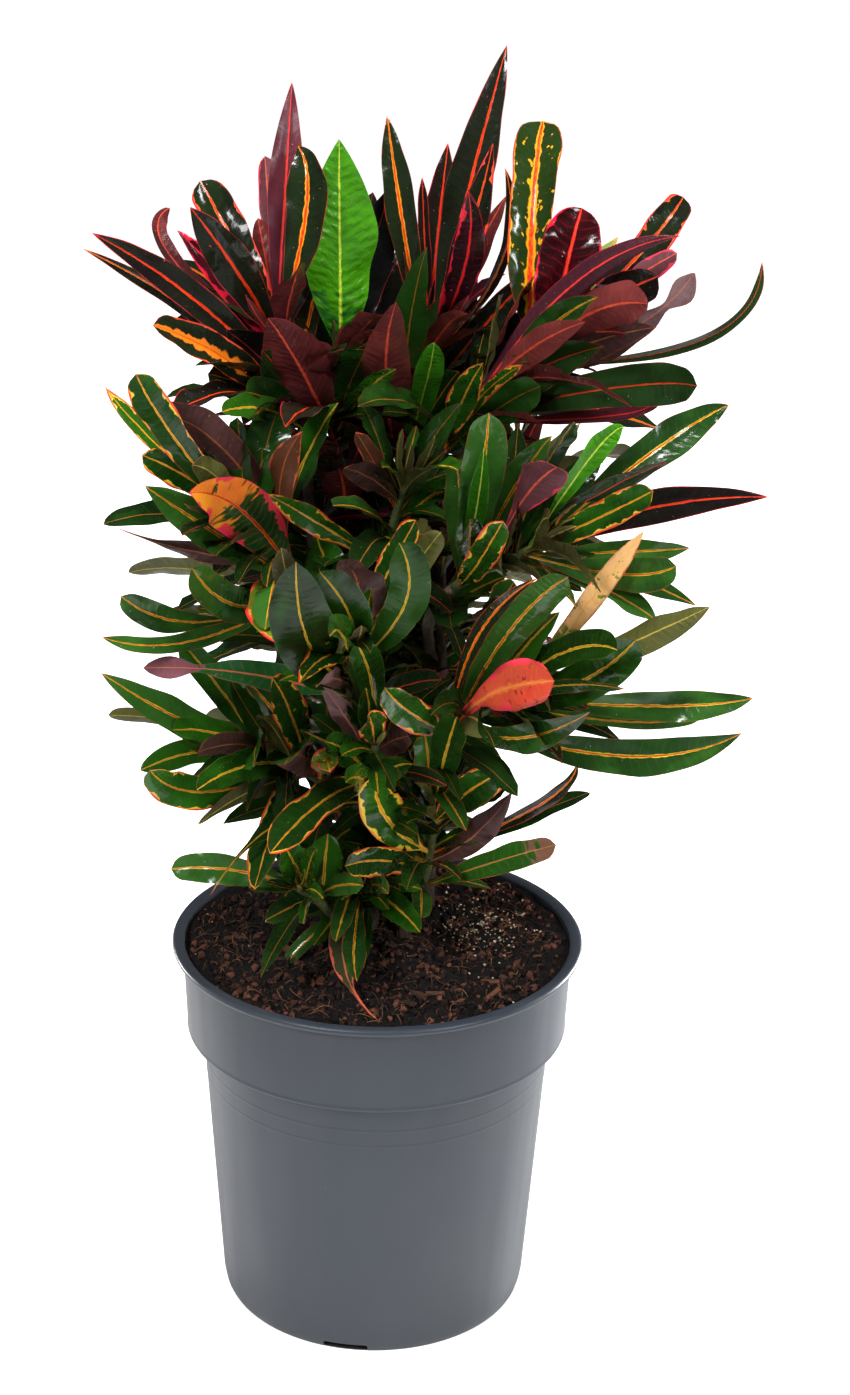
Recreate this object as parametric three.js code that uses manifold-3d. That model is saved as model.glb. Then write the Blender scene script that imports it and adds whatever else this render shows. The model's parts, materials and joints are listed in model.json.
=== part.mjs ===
// Potted croton: a plastic nursery pot, its soil, woody stems and leafy shoots.
// Millimetres, +Z up, origin at the centre of the pot's underside.
import * as THREE from "three";
import { mergeVertices } from "three/addons/utils/BufferGeometryUtils.js";
import Module from "manifold-3d";

const wasm = await Module();
wasm.setup();

// Driving dimensions
const pot = {
  rimRadius: 105,
  rimHeight: 199.5,
  beadHeight: 4,
  lipRadius: 98.4,
  rimRound: 2.2,       // rounding of the rim's outer edge
  neck: 1.5,           // height of the slope from the collar out to the bead
  collarTop: 99.6,
  collarFoot: 97.8,
  collarFootHeight: 152.5,
  shoulderHeight: 151,
  bodyTop: 90,
  footRadius: 79.5,
  footEdge: 2.5,
  wall: 2.2,
  floor: 2.4,
  sides: 30,
  notches: 4,
  notchWidth: 23,
  notchHeight: 4,
  notchDepth: 7,
  notchTurn: -10,
  drainRadius: 5,
  drainCircle: 48,
};
const soil = {
  level: 195.5,
  lump: 1.4,
  lowEdge: 1,
  heap: 2,
  gap: 0.4,
  rings: [1, 0.84, 0.6, 0.32],
  longWave: [0.09, 0.08, 1.3],     // turns per mm in x and y, and where it starts
  shortWave: [-0.12, 0.19],
  heapAt: [6, 38],
  heapRadius: 60,
};
const wood = {
  footDepth: 34,
  clearance: 1.1,      // between a buried stem and its hole, all round
  holeBelow: 0.5,
  holeAbove: 14,
  holeSides: 8,
  sides: 6,
  branchSides: 5,
  steps: 5,
  branchSteps: 3,
  branchSwell: 0.5,    // how much thicker a branch is where it leaves its trunk
};
const stem = { radius: 2.6, tip: 1.9, sides: 5, step: 22, seat: 0.3, arch: 0.08, handle: 0.4 };
const blade = { thickness: 1.5, stalk: 1.2, gap: 0.35, outer: 0.25, rooted: -0.4, arch: 0.07, viaLift: 4 };

// How one leaf differs from the next: least value and spread of each
const habits = {
  fold: [0.12, 0.2],
  twist: [-0.35, 0.7],
  wave: [0.1, 0.12],
  waves: [5, 4],
  phase: [0, 6],
};

// Leaves that grow by rule: places and rise in degrees along the shoot, length as a share of
// the shoot's reach, width, droop and arch as shares of the length
const growth = {
  goldenAngle: 137.5,
  lowest: 0.08,
  span: 0.9,
  turnSpread: 30,
  rise: [8, 48],
  riseSpread: 14,
  shorter: [1.08, -0.3],
  length: [0.85, 0.3],
  width: [0.17, 0.08],
  droop: 0.1,
  arch: 0.1,
};

// The reference photograph's viewpoint, which turns a place seen in it into millimetres
const view = {
  eye: new THREE.Vector3(0, -1200, 795),
  centre: [425, 697.5],
  focal: 2600,
  down: THREE.MathUtils.degToRad(21.2),
  aside: THREE.MathUtils.degToRad(1.035),
  roll: THREE.MathUtils.degToRad(-1.2),
};

// Blade outlines: share of the way along the rib, share of the full width
const outlines = {
  lance: [[0, 0], [0.09, 0.14], [0.36, 0.82], [0.58, 1], [0.82, 0.64], [1, 0]],
  oblong: [[0, 0], [0.09, 0.14], [0.4, 0.84], [0.68, 1], [0.92, 0.8], [1, 0]],
  oval: [[0, 0], [0.09, 0.14], [0.34, 0.86], [0.6, 1], [0.87, 0.74], [1, 0]],
  spoon: [[0, 0], [0.09, 0.14], [0.38, 0.28], [0.6, 0.72], [0.8, 1], [0.94, 0.74], [1, 0]],
  tongue: [[0, 0], [0.09, 0.2], [0.35, 0.92], [0.6, 0.9], [0.8, 1], [0.94, 0.8], [1, 0]],
  waist: [[0, 0], [0.09, 0.14], [0.36, 1], [0.58, 0.74], [0.75, 0.24], [0.88, 0.76], [1, 0]],
  thread: [[0, 0], [0.09, 0.14], [0.34, 1], [0.56, 0.7], [0.72, 0.16], [1, 0]],
  strap: [[0, 0], [0.09, 0.3], [0.5, 1], [0.85, 0.8], [1, 0]],
  slim: [[0, 0], [0.09, 0.14], [0.44, 1], [0.76, 0.8], [1, 0]],
  broad: [[0, 0], [0.09, 0.14], [0.42, 0.92], [0.8, 0.98], [1, 0]],
};

// Woody stems: where each one shows in the photograph (x, y) and its depth, from the soil up
const trunks = {
  trunk_front: { radius: [4.6, 3.4], path: [[403, 936, 4], [410, 915, 2], [419, 893, -2]] },
  trunk_low: { radius: [4, 3], path: [[371, 930, 11], [372, 911, 9], [368, 897, 2]] },
  trunk_left: { radius: [4.8, 2.7], path: [[356, 905, 41], [338, 800, 34], [322, 640, 20], [304, 440, 4]] },
  trunk_mid: { radius: [4.8, 2.7], path: [[386, 902, 45], [378, 760, 40], [358, 600, 22], [338, 458, 16]] },
  trunk_right: { radius: [5, 2.7], path: [[426, 905, 42], [436, 780, 30], [440, 640, 14], [440, 474, 2]] },
  trunk_back: { radius: [4.8, 2.7], path: [[404, 880, 73], [408, 760, 66], [408, 600, 50], [402, 484, 34]] },
};

// Leafy shoots: the stem that bears each one and how far up it forks off, the shoot's root
// and tip as seen (x, y) with their depth, how many leaves grow by rule behind the seen ones,
// their length, and the seen leaves as
// [tip x, tip y, tip depth, place on the shoot, width, turn from facing the viewer, outline, rib via x, y]
const shoots = {
  shoot_crown_left: {
    trunk: "trunk_left", fork: 1, root: [303, 436, 4], tip: [277, 336, -6], grown: 5, reach: 92,
    leaves: [
      [92, 233, -46, 0.45, 15, 12, "lance"],
      [83, 249, -12, 0.4, 8, -30, "lance"],
      [177, 230, -10, 0.72, 12, 20, "lance"],
      [170, 208, 16, 0.8, 9, 150, "oval", 174, 260],
      [190, 207, -34, 0.88, 20, -8, "lance"],
      [200, 181, -4, 0.94, 20, 12, "oblong"],
      [193, 194, 22, 0.86, 11, -20, "lance"],
      [153, 325, -52, 0.2, 16, 25, "oblong"],
      [265, 156, 34, 0.96, 11, 160, "spoon"],
      [258, 218, 12, 0.9, 12, 170, "oval"],
      [292, 82, 22, 1, 16, 10, "lance"],
      [298, 146, 4, 1, 20, -8, "lance", 306, 212],
      [222, 412, -70, 0.1, 14, 30, "oval"],
    ],
  },
  shoot_crown_mid: {
    trunk: "trunk_mid", fork: 1, root: [338, 454, 16], tip: [340, 366, 12], grown: 5, reach: 86,
    leaves: [
      [339, 139, 0, 0.95, 33, 4, "lance"],
      [360, 182, 30, 0.9, 12, -20, "lance"],
      [391, 186, 34, 0.94, 22, 10, "lance"],
      [268, 318, -48, 0.15, 26, 172, "lance", 304, 374],
      [396, 369, -50, 0.3, 12, 20, "lance"],
    ],
  },
  shoot_crown_tall: {
    trunk: "trunk_back", fork: 1, root: [402, 480, 34], tip: [430, 340, 22], grown: 6, reach: 90,
    leaves: [
      [387, 116, 24, 0.9, 15, 14, "lance", 402, 220],
      [422, 177, 44, 0.96, 6, 0, "strap"],
      [507, 45, 34, 0.98, 20, -10, "lance", 466, 200],
      [448, 143, 66, 0.92, 16, 16, "lance"],
      [493, 143, 4, 0.96, 14, -20, "lance", 466, 246],
      [468, 190, -24, 0.9, 16, 10, "lance", 464, 270],
      [505, 168, 14, 0.86, 7, 40, "strap", 498, 270],
      [507, 195, 50, 0.8, 13, 150, "lance"],
      [427, 247, -30, 0.5, 18, -14, "lance", 408, 338],
      [434, 343, -58, 0.15, 13, 10, "oval", 424, 392],
      [396, 302, -62, 0.05, 22, 178, "lance", 386, 380],
      [552, 256, 6, 0.45, 15, 24, "lance"],
    ],
  },
  shoot_crown_right: {
    trunk: "trunk_right", fork: 1, root: [441, 470, 2], tip: [556, 346, -14], grown: 7, reach: 92,
    leaves: [
      [680, 236, -54, 0.02, 12, 165, "lance", 552, 304],
      [543, 121, 24, 0.88, 23, -8, "tongue", 532, 220],
      [582, 208, -8, 0.98, 29, 8, "oval", 566, 270],
      [618, 237, 20, 0.94, 14, -34, "lance"],
      [683, 197, 8, 0.92, 16, 16, "oblong", 634, 260],
      [677, 253, -26, 0.98, 11, 150, "spoon"],
      [695, 273, -44, 0.8, 17, 160, "waist", 624, 334],
      [658, 276, -16, 0.8, 21, 20, "oblong"],
      [598, 297, -64, 0.7, 14, -16, "lance"],
      [585, 322, -78, 0.55, 14, 168, "lance"],
      [762, 262, -6, 0.86, 6, 25, "strap", 702, 340],
      [697, 386, -66, 0.42, 19, 4, "oblong", 612, 388],
      [660, 395, -34, 0.4, 10, -35, "lance", 610, 416],
      [483, 363, -58, 0.14, 14, -10, "lance"],
      [522, 365, -66, 0.22, 7, 20, "strap"],
    ],
  },
  shoot_mid_left: {
    trunk: "trunk_left", fork: 0.56, root: [302, 592, -16], tip: [238, 514, -50], grown: 5, reach: 84,
    leaves: [
      [153, 411, -62, 0.3, 18, 166, "oblong", 234, 460],
      [142, 455, -66, 0.85, 14, -14, "oblong"],
      [145, 486, -84, 0.1, 20, 6, "lance", 214, 532],
      [148, 505, -56, 0.6, 10, 24, "oblong"],
      [115, 527, -50, 0.4, 12, 150, "thread", 190, 550],
      [192, 568, -96, 0.05, 18, 14, "oblong", 240, 606],
      [121, 596, -70, 0, 14, -10, "spoon", 200, 622],
      [102, 637, -90, 0, 9, 16, "strap", 196, 640],
      [189, 493, -104, 0, 27, -4, "lance", 246, 514],
      [286, 646, -112, 0.35, 24, 4, "lance", 272, 604],
      [105, 387, -40, 0.98, 10, 30, "lance", 158, 446],
      [136, 374, -56, 0.95, 16, -12, "oblong", 176, 440],
      [303, 431, -70, 0.2, 14, 150, "lance", 280, 488],
    ],
  },
  shoot_mid_front: {
    trunk: "trunk_mid", fork: 0.36, root: [352, 706, -44], tip: [350, 640, -78], grown: 2, reach: 74,
    leaves: [
      [296, 562, -120, 0.4, 30, 8, "oval", 310, 646],
      [320, 572, -128, 0.86, 20, -10, "oblong", 350, 616],
      [399, 543, -104, 0.6, 19, 6, "oblong", 404, 606],
      [340, 560, -96, 0.94, 24, 172, "oval", 360, 592],
      [416, 520, -88, 0.8, 13, -20, "oblong"],
      [441, 532, -78, 0.6, 13, 168, "oblong"],
      [330, 636, -138, 0.6, 16, 30, "lance"],
      [316, 687, -128, 0.2, 10, 160, "lance"],
      [281, 548, -108, 0.5, 14, 165, "oval", 304, 616],
      [143, 668, -70, 0.1, 14, 10, "waist", 250, 674],
    ],
  },
  shoot_mid_right: {
    trunk: "trunk_right", fork: 0.56, root: [454, 588, -24], tip: [536, 548, -54], grown: 5, reach: 84,
    leaves: [
      [503, 521, -104, 0.05, 14, 14, "oblong", 476, 566],
      [455, 458, -54, 0.05, 15, -8, "oval", 462, 520],
      [557, 467, -92, 0.5, 20, 170, "spoon", 522, 502],
      [769, 497, -40, 0.7, 16, 6, "lance"],
      [653, 491, -98, 0.6, 14, -12, "oblong", 590, 522],
      [667, 462, -66, 0.74, 12, 30, "lance"],
      [690, 548, -64, 0.8, 12, 20, "lance", 620, 552],
      [676, 566, -92, 0.84, 16, 10, "oblong", 616, 574],
      [697, 606, -62, 0.7, 13, -18, "lance"],
      [470, 520, -106, 0.2, 12, 25, "lance"],
      [729, 405, -52, 0.95, 18, -6, "lance", 650, 454],
      [624, 427, -70, 0.9, 11, 20, "lance", 590, 458],
      [489, 413, -92, 0.05, 20, 10, "oblong", 478, 500],
      [552, 436, -80, 0.2, 15, -12, "lance", 512, 492],
      [484, 447, -88, 0.05, 9, 0, "lance", 476, 512],
    ],
  },
  shoot_low_right: {
    trunk: "trunk_right", fork: 0.28, root: [448, 736, -30], tip: [528, 690, -62], grown: 5, reach: 82,
    leaves: [
      [554, 681, -146, 0.02, 23, 4, "spoon", 488, 696],
      [636, 640, -112, 0.62, 20, 10, "oblong", 576, 684],
      [617, 650, -128, 0.4, 15, -14, "oblong", 556, 656],
      [753, 698, -70, 0.8, 15, 8, "lance", 660, 706],
      [706, 712, -56, 0.7, 8, -24, "strap", 630, 722],
      [742, 733, -100, 0.3, 18, 4, "lance", 622, 756],
      [590, 712, -112, 0.2, 15, 18, "lance", 520, 738],
      [624, 689, -120, 0.5, 8, 40, "strap"],
      [494, 746, -134, 0.1, 17, 166, "oval", 474, 718],
      [560, 612, -92, 0.4, 15, -10, "lance"],
      [385, 688, -100, 0.02, 17, -8, "oval", 412, 714],
      [644, 531, -90, 0.9, 11, -10, "lance", 590, 602],
      [710, 607, -92, 0.95, 15, 164, "lance", 634, 642],
      [568, 577, -110, 0, 17, 8, "oblong", 506, 636],
      [538, 578, -132, 0, 8, -20, "lance", 476, 640],
    ],
  },
  shoot_low_left: {
    trunk: "trunk_left", fork: 0.24, root: [322, 782, 2], tip: [252, 748, -36], grown: 5, reach: 84,
    leaves: [
      [101, 673, -74, 0.62, 17, 8, "lance", 190, 724],
      [182, 643, -30, 0.86, 14, -6, "oblong"],
      [108, 715, -44, 0.8, 9, 158, "spoon"],
      [230, 678, -30, 0.56, 12, 16, "lance", 254, 720],
      [173, 730, -62, 0.9, 15, 24, "oblong"],
      [198, 752, -96, 0.6, 12, 168, "oblong"],
      [150, 770, -86, 0.4, 17, -8, "oblong", 206, 792],
      [197, 790, -100, 0.3, 16, 14, "oval"],
      [285, 764, -116, 0.1, 21, 172, "oval"],
      [330, 772, -110, 0.02, 13, 26, "oval"],
      [272, 678, -96, 0.2, 17, 18, "oval"],
      [198, 824, -70, 0.14, 10, 160, "oval"],
      [262, 716, -70, 0.44, 13, 150, "oval"],
    ],
  },
  shoot_foot_left: {
    trunk: "trunk_low", fork: 0.1, root: [330, 912, -23], tip: [298, 888, -52], grown: 3, reach: 58,
    leaves: [
      [171, 869, -72, 0.9, 15, -6, "oblong"],
      [222, 866, -60, 0.86, 9, 26, "lance"],
      [284, 846, -64, 0.7, 16, 12, "oval"],
      [328, 834, -50, 0.3, 17, 8, "oval"],
    ],
  },
  shoot_foot_front: {
    trunk: "trunk_low", fork: 1, root: [354, 897, -6], tip: [352, 884, -22], grown: 2, reach: 52,
    leaves: [
      [379, 1021, -92, 0.7, 14, 14, "thread", 344, 962],
      [357, 981, -78, 0.5, 12, -12, "lance", 354, 944],
      [388, 894, -60, 0.3, 13, 20, "lance"],
      [420, 932, -54, 0.4, 14, 10, "oval"],
      [398, 905, -24, 0.3, 12, 24, "oval"],
      [265, 921, -72, 0.5, 15, 8, "oval"],
    ],
  },
  shoot_foot_right: {
    trunk: "trunk_front", fork: 1, root: [420, 889, 7], tip: [434, 806, -14], grown: 4, reach: 66,
    leaves: [
      [375, 778, -52, 0.5, 21, 6, "oval", 388, 820],
      [345, 866, -50, 0.25, 15, -14, "oblong"],
      [425, 735, -44, 0.9, 15, 10, "oblong"],
      [457, 717, -34, 0.96, 16, -10, "oblong"],
      [500, 773, -44, 0.8, 18, 12, "oblong"],
      [556, 845, -58, 0.05, 14, 8, "oblong", 494, 862],
      [512, 792, -20, 0.4, 15, 160, "lance", 472, 838],
      [577, 764, -8, 0.5, 8, 24, "lance", 538, 806],
      [590, 793, 6, 0.4, 11, -30, "lance", 540, 812],
      [403, 736, -10, 0.86, 15, -12, "lance"],
    ],
  },
  shoot_mid_core: {
    trunk: "trunk_mid", fork: 0.66, root: [384, 566, -6], tip: [404, 486, -26], grown: 5, reach: 80,
    leaves: [
      [356, 432, -44, 0.7, 9, 165, "strap"],
      [383, 460, -30, 0.85, 10, -20, "lance"],
      [408, 442, -14, 0.95, 8, 150, "lance"],
      [447, 450, -34, 0.85, 10, 20, "lance"],
      [462, 402, -20, 0.95, 12, -16, "lance"],
      [345, 468, -60, 0.8, 13, 160, "oval"],
      [436, 538, -86, 0.2, 14, 160, "oval"],
      [268, 494, -84, 0, 12, -24, "lance", 320, 524],
    ],
  },
  shoot_low_core: {
    trunk: "trunk_mid", fork: 0.3, root: [370, 806, -22], tip: [376, 742, -54], grown: 4, reach: 74,
    leaves: [
      [366, 688, -92, 0.7, 11, -20, "lance"],
      [368, 716, -112, 0.85, 15, 12, "lance"],
      [322, 686, -84, 0.6, 13, 160, "lance"],
      [408, 736, -92, 0.8, 14, 170, "oval"],
      [326, 742, -84, 0.4, 15, 20, "oval"],
      [346, 782, -96, 0.2, 13, -10, "oval"],
      [412, 764, -80, 0.3, 13, 10, "lance"],
      [300, 730, -66, 0.5, 14, -20, "lance"],
      [356, 642, -100, 0.95, 15, 24, "oblong", 372, 686],
      [210, 896, -84, 0.02, 14, 10, "thread", 280, 822],
    ],
  },
  shoot_back_left: {
    trunk: "trunk_left", fork: 0.46, root: [300, 640, 52], tip: [256, 580, 84], grown: 9, reach: 86,
    leaves: [],
  },
  shoot_back_crown: {
    trunk: "trunk_mid", fork: 0.74, root: [352, 520, 60], tip: [352, 440, 84], grown: 9, reach: 86,
    leaves: [],
  },
  shoot_back_right: {
    trunk: "trunk_right", fork: 0.6, root: [462, 560, 56], tip: [520, 480, 84], grown: 9, reach: 88,
    leaves: [],
  },
  shoot_back_low: {
    trunk: "trunk_back", fork: 0.3, root: [430, 740, 96], tip: [490, 680, 120], grown: 9, reach: 80,
    leaves: [],
  },
  shoot_back_foot: {
    trunk: "trunk_mid", fork: 0.22, root: [366, 776, 88], tip: [322, 716, 116], grown: 9, reach: 80,
    leaves: [],
  },
  shoot_back_mid: {
    trunk: "trunk_back", fork: 0.62, root: [410, 610, 84], tip: [414, 536, 116], grown: 9, reach: 82,
    leaves: [],
  },
};

// Where a leaf that would cross another shoot is tried instead: depth along the line of sight
// for a seen leaf, turn and rise in degrees for a grown one
const seenShifts = [0, -7, 7, -14, 14, -22, 22, -32, 32, -44, 44];
const grownShifts = [
  [0, 0], [14, 0], [-14, 0], [0, 14], [28, 8], [-28, 8], [0, -16], [45, 0], [-45, 0], [20, 30], [-20, 30],
];

// Finishes for a plain view of the model
const plastic = new THREE.MeshStandardMaterial({ color: 0x5c6066, roughness: 0.45 });
const earth = new THREE.MeshStandardMaterial({ color: 0x37281f, roughness: 0.95 });
const bark = new THREE.MeshStandardMaterial({ color: 0x6b5a48, roughness: 0.85 });
const darkLeaf = new THREE.MeshStandardMaterial({ color: 0x2a2f1f, roughness: 0.35 });
const greenLeaf = new THREE.MeshStandardMaterial({ color: 0x234a1e, roughness: 0.35 });

// Sight line through a place in the photograph, met with the plane at a given depth
function fromPhoto(x, y, depth) {
  const { eye, centre, focal, down, aside, roll } = view;
  const forward = new THREE.Vector3(
    Math.sin(aside) * Math.cos(down), Math.cos(aside) * Math.cos(down), -Math.sin(down));
  const right = new THREE.Vector3(Math.cos(aside), -Math.sin(aside), 0);
  const up = new THREE.Vector3().crossVectors(right, forward);
  const across = x - centre[0];
  const above = centre[1] - y;
  const u = Math.cos(roll) * across + Math.sin(roll) * above;
  const v = -Math.sin(roll) * across + Math.cos(roll) * above;
  const sight = forward.multiplyScalar(focal).addScaledVector(right, u).addScaledVector(up, v);
  return eye.clone().addScaledVector(sight, (depth - eye.y) / sight.y);
}

// Repeatable draw between 0 and 1 from a whole number
function draw(seed) {
  let mixed = Math.imul(seed ^ (seed >>> 15), 0x2c1b3c6d);
  mixed = Math.imul(mixed ^ (mixed >>> 12), 0x297a2d39);
  return ((mixed ^ (mixed >>> 15)) >>> 0) / 4294967296;
}

// Closed solid from a three.js geometry
function toSolid(geometry) {
  const bare = geometry.clone();
  bare.deleteAttribute("normal");
  bare.deleteAttribute("uv");
  const merged = mergeVertices(bare, 1e-4);
  const faces = [];
  for (let corner = 0; corner < merged.index.count; corner += 3) {
    const [a, b, c] = [0, 1, 2].map((step) => merged.index.getX(corner + step));
    if (a !== b && b !== c && c !== a) faces.push(a, b, c);
  }
  return new wasm.Manifold(new wasm.Mesh({
    numProp: 3,
    vertProperties: new Float32Array(merged.attributes.position.array),
    triVerts: new Uint32Array(faces),
  }));
}

function toMesh(name, solid, material) {
  const { vertProperties, triVerts } = solid.getMesh();
  const geometry = new THREE.BufferGeometry();
  geometry.setAttribute("position", new THREE.BufferAttribute(vertProperties, 3));
  geometry.setIndex(new THREE.BufferAttribute(triVerts, 1));
  geometry.computeVertexNormals();
  const mesh = new THREE.Mesh(geometry, material);
  mesh.name = name;
  return mesh;
}

// Skin over rings of points, closed flat at both ends or drawn out to a point there
function loft(rings, startPoint, endPoint) {
  const sides = rings[0].length;
  const points = rings.flat();
  const faces = [];
  for (let ring = 0; ring < rings.length - 1; ring++) {
    for (let side = 0; side < sides; side++) {
      const a = ring * sides + side;
      const b = ring * sides + (side + 1) % sides;
      // the diagonals mirror each other, so both faces of a blade fold alike
      if (side % 2 === 0) faces.push(a, b, a + sides, b, b + sides, a + sides);
      else faces.push(a, b, b + sides, a, b + sides, a + sides);
    }
  }
  const last = (rings.length - 1) * sides;
  if (startPoint) {
    const start = points.push(startPoint) - 1;
    const end = points.push(endPoint) - 1;
    for (let side = 0; side < sides; side++) {
      const next = (side + 1) % sides;
      faces.push(next, side, start, last + side, last + next, end);
    }
  } else {
    for (let side = 1; side < sides - 1; side++) {
      faces.push(0, side + 1, side, last, last + side, last + side + 1);
    }
  }
  const geometry = new THREE.BufferGeometry().setFromPoints(points);
  geometry.setIndex(faces);
  return geometry;
}

// Tapered round stem along a curve
function tube(curve, steps, sides, startRadius, endRadius) {
  const rings = [];
  for (let step = 0; step <= steps; step++) {
    const share = step / steps;
    const along = curve.getTangent(share);
    const across = new THREE.Vector3(0, 1, 0).addScaledVector(along, -along.y).normalize();
    const aside = new THREE.Vector3().crossVectors(along, across);
    const radius = THREE.MathUtils.lerp(startRadius, endRadius, share);
    const centre = curve.getPoint(share);
    rings.push(Array.from({ length: sides }, (_, side) => {
      const angle = side * 2 * Math.PI / sides;
      return centre.clone()
        .addScaledVector(across, radius * Math.cos(angle))
        .addScaledVector(aside, radius * Math.sin(angle));
    }));
  }
  return loft(rings);
}

// Blade along its rib, folded a little at the rib, waved at the edges and twisted
function bladeGeometry(leaf, swell, from) {
  const stations = outlines[leaf.outline].filter(([share]) => share > from && share < 1);
  const rings = stations.map(([share, fullness]) => {
    const centre = leaf.rib.getPoint(share);
    const along = leaf.rib.getTangent(share);
    const up = leaf.facing.clone().addScaledVector(along, -leaf.facing.dot(along)).normalize();
    up.applyAxisAngle(along, leaf.twist * (share - 0.5));
    const side = new THREE.Vector3().crossVectors(up, along);
    const half = Math.max(fullness * leaf.width / 2, blade.stalk) + swell;
    const thick = blade.thickness / 2 + swell;
    const wave = leaf.wave * Math.sin(share * leaf.waves + leaf.phase);
    const corner = (sign) => centre.clone()
      .addScaledVector(side, sign * half)
      .addScaledVector(up, half * (leaf.fold + sign * wave));
    return [
      corner(1), centre.clone().addScaledVector(up, thick),
      corner(-1), centre.clone().addScaledVector(up, -thick),
    ];
  });
  return loft(rings, leaf.rib.getPoint(from), leaf.rib.getPoint(1));
}

// Value that starts at the first number and grows by the second over the share given
function graded([start, growth], share) {
  return start + growth * share;
}

// The small differences between one leaf and the next
function habit(seed) {
  return Object.fromEntries(Object.entries(habits).map(([name, range], count) => {
    return [name, graded(range, draw(seed + 1 + count))];
  }));
}

// Rib from root to tip through a middle place
function ribThrough(root, middle, tip) {
  const control = middle.clone().multiplyScalar(2).addScaledVector(root, -0.5).addScaledVector(tip, -0.5);
  return new THREE.QuadraticBezierCurve3(root, control, tip);
}

// Where a leaf heading for a tip is rooted: inside the stem, past its axis
function rootOn(shoot, place, tip) {
  const axis = shoot.curve.getPoint(place);
  const along = shoot.curve.getTangent(place);
  const outward = tip.clone().sub(axis);
  outward.addScaledVector(along, -outward.dot(along)).normalize();
  return axis.addScaledVector(outward, blade.rooted * THREE.MathUtils.lerp(stem.radius, stem.tip, place));
}

// A leaf seen in the photograph: its tip and its middle stay on their lines of sight
function seenLeaf(shoot, row, seed, shift) {
  const [x, y, depth, place, width, turn, outline, viaX, viaY] = row;
  const tip = fromPhoto(x, y, depth + shift);
  const root = rootOn(shoot, place, tip);
  const middle = root.clone().lerp(tip, 0.5);
  const chord = tip.clone().sub(root);
  if (viaX === undefined) middle.z += blade.arch * Math.hypot(chord.x, chord.y);
  else middle.copy(fromPhoto(viaX, viaY, middle.y - blade.viaLift));
  const facing = view.eye.clone().sub(middle).normalize();
  facing.applyAxisAngle(chord.normalize(), THREE.MathUtils.degToRad(turn));
  return { rib: ribThrough(root, middle, tip), facing, width, outline, ...habit(seed) };
}

// A leaf placed by rule: round the shoot by the golden angle, steeper towards its tip
function grownLeaf(shoot, count, seed, [moreTurn, moreRise]) {
  const share = (count + 0.5) / shoot.grown;
  const place = growth.lowest + growth.span * share;
  const axis = shoot.curve.getPoint(place);
  const along = shoot.curve.getTangent(place);
  const across = new THREE.Vector3(0, 1, 0).addScaledVector(along, -along.y).normalize();
  const turn = count * growth.goldenAngle + moreTurn + growth.turnSpread * draw(seed);
  across.applyAxisAngle(along, THREE.MathUtils.degToRad(turn));
  const rise = THREE.MathUtils.degToRad(
    graded(growth.rise, share) + moreRise + growth.riseSpread * draw(seed + 6));
  const heading = across.clone().multiplyScalar(Math.cos(rise)).addScaledVector(along, Math.sin(rise));
  const length = shoot.reach * graded(growth.shorter, share) * graded(growth.length, draw(seed + 7));
  const tip = axis.addScaledVector(heading, length);
  tip.z -= growth.droop * length;
  const root = rootOn(shoot, place, tip);
  const middle = root.clone().lerp(tip, 0.5);
  middle.z += growth.arch * length;
  const facing = along.clone().addScaledVector(heading, -along.dot(heading)).normalize();
  const outline = draw(seed + 8) < 0.5 ? "slim" : "broad";
  const width = length * graded(growth.width, draw(seed + 9));
  return { rib: ribThrough(root, middle, tip), facing, width, outline, ...habit(seed) };
}

// Pot: wall turned round the axis, with drain holes in its floor and notches at its foot
function buildPot() {
  const { rimRadius, rimHeight, rimRound, wall, floor, sides } = pot;
  const beadFoot = rimHeight - pot.beadHeight;
  const outer = [
    [pot.footRadius - pot.footEdge, 0],
    [pot.footRadius, pot.footEdge],
    [pot.bodyTop, pot.shoulderHeight],
    [pot.collarFoot - rimRound / 2, pot.shoulderHeight],
    [pot.collarFoot, pot.collarFootHeight],
    [pot.collarTop, beadFoot - pot.neck],
    [rimRadius - rimRound / 2, beadFoot],
    [rimRadius, beadFoot + rimRound / 2],
    [rimRadius - rimRound / 4, rimHeight - rimRound / 2],
    [rimRadius - rimRound, rimHeight],
  ];
  const inner = [
    [pot.lipRadius, rimHeight - rimRound / 4],
    [pot.collarTop - wall, beadFoot - pot.neck],
    [pot.collarFoot - wall, pot.collarFootHeight + wall],
    [pot.bodyTop - wall, pot.shoulderHeight + wall],
    [pot.footRadius - wall, floor],
  ];
  const profile = [[0, 0], ...outer, ...inner, [0, floor]].map(([r, z]) => new THREE.Vector2(r, z));
  const shell = new THREE.LatheGeometry(profile, sides);
  shell.rotateX(Math.PI / 2);
  let solid = toSolid(shell);
  for (let count = 0; count < pot.notches; count++) {
    const turn = THREE.MathUtils.degToRad(pot.notchTurn + count * 360 / pot.notches);
    const notch = new THREE.BoxGeometry(pot.notchWidth, 2 * pot.notchDepth, 2 * pot.notchHeight);
    notch.translate(0, -pot.footRadius, 0);
    notch.rotateZ(turn);
    solid = solid.subtract(toSolid(notch));
    const drain = new THREE.CylinderGeometry(pot.drainRadius, pot.drainRadius, 4 * floor, 10);
    drain.rotateX(Math.PI / 2);
    drain.translate(0, -pot.drainCircle, 0);
    drain.rotateZ(turn);
    solid = solid.subtract(toSolid(drain));
  }
  return solid;
}

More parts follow.
